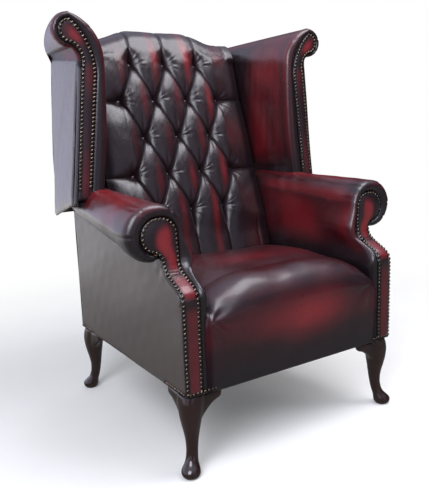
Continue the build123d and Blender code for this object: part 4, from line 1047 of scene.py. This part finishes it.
def arm_studs(side):
    inner = stud_line(facing_line((1, 30, 8, 20, 20, 20, 12, 30)))
    inner[0, 1] = inner[-1, 1] = BOTTOM + 9.0
    x, along = evenly(inner)
    places = fold(x, along, 3.2)
    return studs(f"{SIDES[side]}_arm_studs", places, fold(x, along, 4.2) - places, side)


def wing_studs(side):
    inner = stud_line(wing_facing_line(618, (1, 40, 20, 16, 16, 14, 40)))
    x, z = evenly(inner[inner[:, 1] > 640.0])
    normals = [np.array((0.0, -1.0, 0.0))] * len(x)
    return studs(f"{SIDES[side]}_wing_studs", xyz(x, WING_FACE - 3.2, z), normals, side)


def foot_studs(side):
    """Short rows along the lower edge, round each corner above a leg."""
    low = BOTTOM + 7.0
    places = [(x, -4.0 if x < 284 else -4.5, low) for x in np.arange(249.0, 326.0, STUD_PITCH)]
    normals = [np.array((0, -1, 0))] * len(places)
    for y in (*np.arange(9.0, 100.0, STUD_PITCH), *np.arange(566.0, 646.0, STUD_PITCH)):
        places.append((float(side_x(y)) + 0.8, y, low))
        normals.append(np.array((1, 0, 0)))
    return studs(f"{SIDES[side]}_foot_studs", np.array(places), normals, side)


def covered_buttons():
    """Leather-covered buttons, each a soft dome with its edge turned under."""
    top = ((0, 6.0), (3.2, 5.7), (6.0, 4.7), (8.2, 3.0))
    profile = (*top, (9.2, 1.2), (9.0, -0.5), (7.5, -1.6), (0, -1.6))
    shape, faces = turned_head(profile, 20)
    out = np.array((0.0, -math.cos(BACK_ANGLE), math.sin(BACK_ANGLE)))
    up = np.array((0.0, math.sin(BACK_ANGLE), math.cos(BACK_ANGLE)))
    shape = shape @ np.array(((1.0, 0.0, 0.0), up, out))
    points, faces = joined((back_point(x, run, -0.8) + shape, faces) for x, run in button_places())
    return make_mesh("leather_buttons", points, faces, wear=np.full(len(points), 0.05))


# Legs

LEG_RADIUS = 28.0
EAR_ROWS = 30
EAR_SIDES = 20
WELT_SIDES = 8
LEG_RINGS = np.array(
    (
        # height share, reach to the corner share, radius share
        (0, 1.00, 0.58), (0.012, 1.01, 0.68), (0.04, 1.02, 0.80), (0.072, 1.01, 0.83), (0.10, 0.95, 0.78),
        (0.13, 0.82, 0.68), (0.17, 0.62, 0.57), (0.22, 0.46, 0.52), (0.29, 0.33, 0.505), (0.36, 0.27, 0.53),
        (0.43, 0.24, 0.58), (0.52, 0.26, 0.68), (0.62, 0.30, 0.82), (0.72, 0.32, 0.94), (0.80, 0.31, 1.00),
        (0.88, 0.24, 1.04), (0.93, 0.17, 1.05), (1, 0.10, 1.04),
    )
)


def smooth_interp(at, xs, ys):
    """A smooth curve through a few places, without overshoot."""
    slopes = np.diff(ys) / np.diff(xs)
    before, after = slopes[:-1], slopes[1:]
    inner = np.where(before * after > 0, 2 * before * after / (before + after + 1e-12), 0)
    tangent = np.concatenate((slopes[:1], inner, slopes[-1:]))
    i = int(np.clip(np.searchsorted(xs, at) - 1, 0, len(xs) - 2))
    h = xs[i + 1] - xs[i]
    t = (at - xs[i]) / h
    return (
        (2 * t ** 3 - 3 * t ** 2 + 1) * ys[i]
        + (t ** 3 - 2 * t ** 2 + t) * h * tangent[i]
        + (-2 * t ** 3 + 3 * t ** 2) * ys[i + 1]
        + (t ** 3 - t ** 2) * h * tangent[i + 1]
    )


def leg_form(place, forward):
    """A curved leg with a pad foot, a slim ankle and a full knee that squares off at the top."""
    heights, reach, radius = LEG_RINGS.T
    angles = round_turns(40)
    turn = np.cos(angles - math.atan2(forward, 1.0))
    rows = []
    for level in np.concatenate((np.linspace(0, 0.13, 14), np.linspace(0.13, 1.0, 46)[1:])):
        shift = smooth_interp(level, heights, reach) * (LEG_RADIUS / math.sqrt(2))
        # A soft ridge down the outer corner of knee and ankle
        ridge = 0.07 * np.clip(turn, 0, 1) ** 6 * smooth(0.16, 0.3, level) * fade(0.9, 1.0, level)
        corner = 0.10 * smooth(0.62, 1.0, level) * (np.abs(np.sin(2 * angles)) - 0.5)
        wide = smooth_interp(level, heights, radius) * LEG_RADIUS * (1 + ridge + corner)
        x = place[0] + shift + wide * np.cos(angles)
        rows.append(xyz(x, place[1] + shift * forward + wide * np.sin(angles), BOTTOM * level))
    grid = np.array(rows)
    return capped(grid, (grid[0].mean(axis=0), grid[-1].mean(axis=0)))


def end_faces(rows, sides):
    """Faces of a tube of rings with a flat face at each end."""
    end = rows * sides
    return [*sheet_faces(rows, sides, True), tuple(range(sides)), tuple(reversed(range(end - sides, end)))]


def squared(value):
    """A sine or cosine that draws a circle out towards a square."""
    return math.copysign(abs(value) ** 0.7, value)


def ear(place, forward, along_x):
    """A knee bracket: its lower edge sweeps up from the leg to a thick rounded end."""
    length = 50.0
    start = -8.0
    centre = 12.0
    rows = []
    for t in np.linspace(0, 1, EAR_ROWS):
        far = LEG_RADIUS - 4.0 + (start + (length - start) * t)
        end = math.sqrt(max(1 - (max(t - 0.84, 0.0) / 0.165) ** 2, 0.0))
        low = (27.0 + 36.0 * (1 - min(t / 0.86, 1.0)) ** 1.7) * blend(0.25, 1.0, end)
        half = blend(14.0, 10.0, t) * blend(0.45, 1.0, end)
        for turn in round_turns(EAR_SIDES):
            z = BOTTOM - low / 2 + low / 2 * squared(math.sin(turn))
            off = centre + half * squared(math.cos(turn))
            x, y = (-far, forward * off) if along_x else (off, -forward * far)
            rows.append((place[0] + x, place[1] + y, z))
    return np.array(rows), end_faces(EAR_ROWS, EAR_SIDES)


def knee_leg(name, place, forward, side):
    """Leg and its two knee brackets, melted together as one carved piece."""
    forms = (leg_form(place, forward), ear(place, forward, True), ear(place, forward, False))
    piece = make_mesh(name, *joined(forms), side)
    remesh = piece.modifiers.new("melt", "REMESH")
    remesh.mode = "VOXEL"
    remesh.voxel_size = 0.0022
    relax = piece.modifiers.new("relax", "SMOOTH")
    relax.factor = 0.5
    relax.iterations = 24
    rough = piece.data
    melted = bpy.data.meshes.new_from_object(piece.evaluated_get(bpy.context.evaluated_depsgraph_get()))
    piece.modifiers.clear()
    piece.data = melted
    bpy.data.meshes.remove(rough)
    # Flat under the rail and under the foot, where smoothing rounds them off
    data = np.zeros(len(melted.vertices) * 3)
    melted.vertices.foreach_get("co", data)
    z = data[2::3] / MM
    z = np.clip(z, 0.0, BOTTOM - 0.4)
    z[z < 1.6] = 0.0
    data[2::3] = z * MM
    melted.vertices.foreach_set("co", data.tolist())
    melted.update()
    melted.polygons.foreach_set("use_smooth", [True] * len(melted.polygons))
    return piece


def tube(name, points, radius, side):
    """A thin round welt along a line of points."""
    turns = round_turns(WELT_SIDES)[:, None]
    radii = np.full(len(points), radius)
    radii[[0, -1]] *= 0.25
    rows = []
    for point, way, thick in zip(points, ways(points), radii):
        u = sideways(way, 0.9)
        rows.append(point + thick * (np.cos(turns) * u + np.sin(turns) * np.cross(way, u)))
    return make_mesh(name, np.vstack(rows), end_faces(len(points), WELT_SIDES), side)


# Materials


def give(node, inputs):
    """Set a node's inputs, each to a number, a colour or another node's output."""
    for key, value in inputs.items():
        if isinstance(value, bpy.types.NodeSocket):
            node.id_data.links.new(value, node.inputs[key])
        else:
            node.inputs[key].default_value = value
    return node


def add(tree, kind, inputs):
    return give(tree.nodes.new(kind), inputs)


def shader(name):
    """A material, its node tree, its surface shader and its output."""
    material = bpy.data.materials.new(name)
    material.use_nodes = True
    tree = material.node_tree
    tree.nodes.clear()
    output = tree.nodes.new("ShaderNodeOutputMaterial")
    surface = tree.nodes.new("ShaderNodeBsdfPrincipled")
    tree.links.new(surface.outputs[0], output.inputs[0])
    return material, tree, surface, output


def place_in(tree, name="Object"):
    return tree.nodes.new("ShaderNodeTexCoord").outputs[name]


def add_noise(tree, scale, detail=3.0, rough=0.6, stretch=None):
    """Noise in the object's own metres; scale is features per metre."""
    source = place_in(tree)
    if stretch is not None:
        source = add(tree, "ShaderNodeMapping", {"Vector": source, "Scale": stretch}).outputs["Vector"]
    inputs = {"Vector": source, "Scale": scale, "Detail": detail, "Roughness": rough}
    return add(tree, "ShaderNodeTexNoise", inputs).outputs["Fac"]


def math_node(tree, kind, *values):
    node = add(tree, "ShaderNodeMath", dict(enumerate(values)))
    node.operation = kind
    return node.outputs[0]


def times_plus(tree, value, factor, more):
    return math_node(tree, "MULTIPLY_ADD", value, factor, more)


def add_range(tree, value, low, high):
    """A soft step from 0 at low to 1 at high."""
    node = add(tree, "ShaderNodeMapRange", {"Value": value, "From Min": low, "From Max": high})
    node.interpolation_type = "SMOOTHSTEP"
    return node.outputs["Result"]


def add_ramp(tree, value, stops):
    node = add(tree, "ShaderNodeValToRGB", {"Fac": value})
    ramp = node.color_ramp
    while len(ramp.elements) > 1:
        ramp.elements.remove(ramp.elements[-1])
    ramp.elements[0].position = stops[0][0]
    ramp.elements[0].color = (*stops[0][1], 1.0)
    for position, colour in stops[1:]:
        ramp.elements.new(position).color = (*colour, 1.0)
    return node.outputs["Color"]


def add_bump(tree, height, strength, distance, **after):
    inputs = {"Height": height, "Strength": strength, "Distance": distance, **after}
    return add(tree, "ShaderNodeBump", inputs).outputs["Normal"]


def painted_on(tree, layer):
    node = tree.nodes.new("ShaderNodeAttribute")
    node.attribute_name = layer
    return node.outputs["Fac"]


def leather(name, stops, gloss=0.30, mottle=0.34):
    """Hand-rubbed hide: a dark top coat worn through to red where the wear and shade mask is high; where that mask
    holds painted shade the hide stays dark.
    """
    material, tree, surface, _ = shader(name)
    wear = painted_on(tree, "wear")
    drift = times_plus(tree, add_noise(tree, 9.0, 3.0, 0.55), mottle, -mottle / 2)
    drift = math_node(tree, "MULTIPLY", drift, add_range(tree, wear, 0.0, 0.25))
    specks = times_plus(tree, add_noise(tree, 70.0, 4.0), 0.10, -0.05)
    total = math_node(tree, "ADD", math_node(tree, "ADD", wear, drift), specks)
    # Painted shade: deep in a fold, close above a button, under a wing roll and in the corners, nothing shines
    shine = times_plus(tree, painted_on(tree, "crease"), -0.5, 0.5)
    cells = add(tree, "ShaderNodeTexVoronoi", {"Vector": place_in(tree), "Scale": 620.0})
    cells.feature = "DISTANCE_TO_EDGE"
    grain = add_range(tree, cells.outputs["Distance"], 0.0, 0.16)
    pores = add_bump(tree, times_plus(tree, add_noise(tree, 1900.0, 2.0), 0.4, grain), 0.16, 0.0004)
    give(surface, {
        "Base Color": add_ramp(tree, total, stops),
        "Roughness": times_plus(tree, add_noise(tree, 160.0), 0.14, gloss - 0.07),
        "Specular IOR Level": shine,
        "Coat Weight": math_node(tree, "MULTIPLY", shine, 0.6),
        "Coat Roughness": 0.20,
        "Normal": add_bump(tree, add_noise(tree, 45.0, 3.0, 0.5), 0.14, 0.0016, Normal=pores),
    })
    return material


def wood(name, rings, fibres, stops, rough, bump, **coat):
    """Rings and fine fibres, each a noise drawn out along the grain, with its weight in the colour."""
    material, tree, surface, _ = shader(name)
    broad, fine = (
        add_noise(tree, scale, detail, 0.6, (1.0, 1.0, long)) for scale, detail, long, _ in (rings, fibres)
    )
    value = times_plus(tree, fine, fibres[3], math_node(tree, "MULTIPLY", broad, rings[3]))
    give(surface, {
        "Base Color": add_ramp(tree, value, stops),
        "Roughness": times_plus(tree, fine, *rough),
        "Normal": add_bump(tree, fine, *bump),
        **coat,
    })
    return material


def metal(name, dark, light, rough):
    material, tree, surface, _ = shader(name)
    value = add_noise(tree, 260.0)
    give(surface, {
        "Base Color": add_ramp(tree, value, ((0.35, dark), (0.65, light))),
        "Metallic": 1.0,
        "Roughness": times_plus(tree, value, 0.2, rough - 0.1),
        "Normal": add_bump(tree, value, 0.1, 0.0003),
    })
    return material


def cloth(name, dark, light, thread):
    """Woven cloth: crossed sets of threads, thread of them to a metre."""
    material, tree, surface, _ = shader(name)
    place = place_in(tree)
    threads = []
    for axis in ("X", "Y", "Z"):
        inputs = {"Vector": place, "Scale": thread / 20.0, "Distortion": 0.6, "Detail": 1.0}
        wave = add(tree, "ShaderNodeTexWave", inputs)
        wave.bands_direction = axis
        threads.append(wave.outputs["Fac"])
    level = math_node(tree, "MULTIPLY", math_node(tree, "ADD", *threads[:2]), 0.5)
    weave = times_plus(tree, threads[2], 0.3, math_node(tree, "MULTIPLY", level, 0.7))
    mixed = times_plus(tree, add_noise(tree, 14.0), 0.4, math_node(tree, "MULTIPLY", weave, 0.6))
    give(surface, {
        "Base Color": add_ramp(tree, mixed, ((0.2, dark), (0.8, light))),
        "Roughness": 0.9,
        "Sheen Weight": 0.2,
        "Normal": add_bump(tree, weave, 0.5, 0.0006),
    })
    return material


BLACK = (0.0085, 0.0055, 0.0075)
PLUM = (0.017, 0.0058, 0.008)
WINE = (0.06, 0.006, 0.009)
RED = (0.14, 0.009, 0.013)
BRIGHT = (0.21, 0.014, 0.019)
RUB = ((0.0, BLACK), (0.16, PLUM), (0.42, WINE), (0.74, RED), (1.0, BRIGHT))
# Painted light: the outside panels get a lighter, warm grey copy of the hide, standing in for the sheen they catch
# from the side
OUTSIDE_LIT = ((0.0, (0.058, 0.046, 0.042)), (0.3, (0.058, 0.042, 0.040)), (0.7, (0.070, 0.034, 0.034)))

hide = leather("rubbed_leather", RUB)
lit_panel_hide = leather("outside_leather_painted_light", OUTSIDE_LIT, 0.36, 0.2)
button_hide = leather("button_leather", RUB, 0.26, 0.1)
mahogany = wood(
    "dark_mahogany", (30.0, 5.0, 0.14, 0.75), (420.0, 3.0, 0.05, 0.35),
    ((0.3, (0.0060, 0.0032, 0.0028)), (0.75, (0.020, 0.0072, 0.0056))), (0.1, 0.11), (0.08, 0.0004),
    **{"Coat Weight": 0.5, "Coat Roughness": 0.07},
)
timber = wood(
    "frame_timber", (24.0, 4.0, 0.1, 0.7), (500.0, 3.0, 0.04, 0.4),
    ((0.3, (0.30, 0.17, 0.08)), (0.8, (0.55, 0.37, 0.2))), (0.2, 0.6), (0.2, 0.0006),
)
brass = metal("antique_brass", (0.030, 0.022, 0.017), (0.20, 0.16, 0.12), 0.20)
steel = metal("plain_steel", (0.3, 0.3, 0.31), (0.6, 0.6, 0.62), 0.35)
webbing = cloth("jute_webbing", (0.30, 0.22, 0.12), (0.58, 0.47, 0.3), 700.0)
hessian = cloth("hessian_cloth", (0.24, 0.16, 0.08), (0.48, 0.36, 0.2), 500.0)
black_cloth = cloth("dust_cloth", (0.008, 0.008, 0.009), (0.03, 0.03, 0.032), 900.0)
twine = cloth("waxed_twine", (0.35, 0.27, 0.16), (0.65, 0.53, 0.36), 900.0)
filling = cloth("soft_filling", (0.62, 0.55, 0.38), (0.85, 0.8, 0.62), 300.0)


# Put the chair together


def dress(piece, material):
    piece.data.materials.clear()
    piece.data.materials.append(material)


def set_out(piece, material):
    dress(piece, material)
    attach(piece, "root")
    return piece


padded = []
for side, word in SIDES.items():
    arm = set_out(arm_body(side, 3 + side), hide)
    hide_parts(f"{word}_arm_cover", f"{word}_arm_foam")
    wing = set_out(wing_body(side, 13 + side), hide)
    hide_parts(f"{word}_wing_cover", f"{word}_wing_foam")
    front = set_out(arm_facing(side), hide)
    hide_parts(f"{word}_arm_facing")
    wing_front = set_out(wing_facing(side), hide)
    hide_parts(f"{word}_wing_facing")
    arm_side = set_out(outside_arm(side), lit_panel_hide)
    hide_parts(f"{word}_outside_arm")
    wing_side = set_out(outside_wing(side), lit_panel_hide)
    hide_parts(f"{word}_outside_wing")
    padded += [(arm, 0.8), (wing, 0.8), (front, 0.5), (wing_front, 0.5)]
    for make in (arm_studs, wing_studs, foot_studs):
        set_out(make(side), brass)
    # Two thin welts along the front edge of the outside panel, from the scroll down to the corner
    for number, (gap, rise) in enumerate(((5.0, 1.2), (9.5, 0.9))):
        y, z = front_point(np.linspace(front_along(496.0), SHOULDER_START + 2.0, 40))
        line = xyz(side_x(y) + rise, y + gap, z - gap * 0.55)
        set_out(tube(f"{word}_welt_{number}", line, 1.5, side), lit_panel_hide)
    rear_x = float(side_x(614.0)) - 30.0
    for end, place, forward in (("front", (298.0, 30.0), -1), ("rear", (rear_x, 614.0), 1)):
        leg = set_out(knee_leg(f"{word}_{end}_cabriole", place, forward, side), mahogany)
        names = [f"{word}_{end}_leg"]
        if side < 0 and forward < 0:
            names.append("knee_brackets")
        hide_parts(*names)

back = set_out(deep_back(), hide)
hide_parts("back_cover", "back_foam")
seat = set_out(tight_seat(), hide)
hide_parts("seat_cover", "seat_foam")
buttons = set_out(covered_buttons(), button_hide)
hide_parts("back_buttons")
rear = set_out(outside_back(), lit_panel_hide)
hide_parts("outside_back")
padded += [(back, 0.8), (seat, 0.9)]

# Each part of the frame gets the first material whose word is in its name
FINISHES = (
    ("foam", filling), ("dust", black_cloth), ("bolts", steel), ("leg", mahogany), ("bracket", mahogany),
    ("board", timber), ("webbing", webbing), ("hessian", hessian), ("twines", twine),
    ("outside_back", lit_panel_hide), ("cover", hide), ("facing", hide), ("outside", hide), ("buttons", hide),
    ("", timber),
)
for name, piece in nodes.items():
    dress(piece, next(material for word, material in FINISHES if word in name))


# Floor, light and camera


def toward(tree, way, direction, low, high):
    """A soft step by how far a place or direction reaches one way."""
    node = add(tree, "ShaderNodeVectorMath", {0: way, 1: direction})
    node.operation = "DOT_PRODUCT"
    return add_range(tree, node.outputs["Value"], low, high)


def by_ray(tree, common, seen, mirrored, output, *shares):
    """One shader for the light, one for what the camera sees and one for what polished things mirror."""
    ray = tree.nodes.new("ShaderNodeLightPath").outputs
    camera = math_node(tree, "MAXIMUM", ray["Is Camera Ray"], ray["Is Transmission Ray"])
    for share in shares:
        camera = math_node(tree, "MULTIPLY", share, camera)
    mixed = add(tree, "ShaderNodeMixShader", {0: camera, 1: common.outputs[0], 2: seen.outputs[0]})
    inputs = {0: ray["Is Glossy Ray"], 1: mixed.outputs[0], 2: mirrored.outputs[0]}
    give(output, {0: add(tree, "ShaderNodeMixShader", inputs).outputs[0]})


def plain_floor():
    size = 6.0
    count = 12
    lines = np.linspace(-size, size, count + 1)
    points = [(x, y, 0.0) for x in lines for y in lines]
    mesh = bpy.data.meshes.new("floor")
    mesh.from_pydata(points, [], sheet_faces(count + 1, count + 1, False))
    material, tree, surface, output = shader("pale_floor")
    stops = ((0.3, (0.90, 0.90, 0.90)), (0.7, (0.94, 0.94, 0.94)))
    colour = add_ramp(tree, add_noise(tree, 3.0, 3.0, 0.5), stops)
    give(surface, {"Base Color": colour, "Roughness": 0.8, "Specular IOR Level": 0.1})
    # Far from the chair the floor turns into the white backdrop
    place = place_in(tree)
    length = add(tree, "ShaderNodeVectorMath", {0: place})
    length.operation = "LENGTH"
    far = add_range(tree, length.outputs["Value"], 0.7, 1.9)
    white = add(tree, "ShaderNodeEmission", {"Color": (1, 1, 1, 1), "Strength": 1.0})
    # Polished things see a floor that is bright beside and behind the chair, dim before it
    pale = toward(tree, place, (-0.62, 0.78, 0.0), 0.4, 3.4)
    inputs = {"Color": (0.98, 0.96, 0.98, 1), "Strength": times_plus(tree, pale, 1.15, 0.20)}
    by_ray(tree, surface, white, add(tree, "ShaderNodeEmission", inputs), output, far)
    mesh.materials.append(material)
    piece = new_object("floor", mesh)


def studio_world():
    world = bpy.data.worlds.new("studio")
    world.use_nodes = True
    bpy.context.scene.world = world
    tree = world.node_tree
    tree.nodes.clear()
    output = tree.nodes.new("ShaderNodeOutputWorld")
    light = add(tree, "ShaderNodeBackground", {"Color": (0.94, 0.96, 1.0, 1.0), "Strength": 0.55})
    white = add(tree, "ShaderNodeBackground", {"Color": (1, 1, 1, 1), "Strength": 1.0})
    # What polished things see: a dim room with a bright ceiling, a window and two pale walls,
    # each told by its direction, where it begins and is full, and its strength
    sky = place_in(tree, "Generated")
    glow = 0.035
    for direction, low, high, strength in (
        ((0.0, 0.0, 1.0), 0.32, 0.98, 1.15),
        ((-0.90, -0.33, 0.28), 0.62, 0.97, 0.75),
        ((-0.61, 0.78, -0.12), 0.45, 0.9, 1.4),
        ((0.14, -0.98, 0.14), 0.88, 0.99, 0.62),
    ):
        glow = times_plus(tree, toward(tree, sky, direction, low, high), strength, glow)
    room = add(tree, "ShaderNodeBackground", {"Strength": glow, "Color": (0.76, 0.77, 1.0, 1.0)})
    by_ray(tree, light, white, room, output)


def lamp(name, place, target, size, power, colour, mirrored=True):
    data = bpy.data.lights.new(name, "AREA")
    data.shape = "RECTANGLE"
    data.size, data.size_y = size
    data.energy = power
    data.color = colour
    piece = new_object(name, data)
    piece.visible_glossy = mirrored
    piece.location = place
    piece.rotation_euler = (Vector(target) - Vector(place)).to_track_quat("-Z", "Y").to_euler()


def photo_camera():
    """The camera as solved from the photograph. Lengths in pixels count in its long side."""
    azimuth, elevation, roll = (math.radians(a) for a in (-32.985, 10.680, -2.110))
    level = math.cos(elevation)
    behind = Vector((math.sin(azimuth) * level, -math.cos(azimuth) * level, math.sin(elevation)))
    right = (-behind).cross(Vector((0, 0, 1))).normalized()
    up = right.cross(-behind).normalized()
    turned_right = right * math.cos(roll) + up * math.sin(roll)
    turned_up = up * math.cos(roll) - right * math.sin(roll)
    width, height = 428.0, 488.0
    focal = 617.087
    centre = (208.44, 243.53)
    data = bpy.data.cameras.new("camera")
    data.sensor_width = 36.0
    data.lens = focal * data.sensor_width / height
    data.shift_x = (width / 2 - centre[0]) / height
    data.shift_y = (centre[1] - height / 2) / height
    matrix = Matrix((turned_right, turned_up, behind)).transposed().to_4x4()
    matrix.translation = Vector((-0.972, -1.4622, 0.7851))
    piece = new_object("camera", data)
    piece.matrix_world = matrix
    bpy.context.scene.camera = piece


plain_floor()
studio_world()
lamp("window", (-1.9, -1.5, 2.1), (0, 0.05, 0.7), (1.4, 1.8), 62, (0.90, 0.92, 1.0))
lamp("top", (0.6, -0.6, 2.6), (0, 0.1, 0.5), (1.6, 1.2), 38, (0.97, 0.96, 1.0))
lamp("fill", (2.2, -1.6, 1.2), (0, 0.1, 0.5), (1.0, 1.6), 17, (1.0, 0.96, 0.96), False)
photo_camera()
bpy.context.scene.view_settings.view_transform = "Standard"
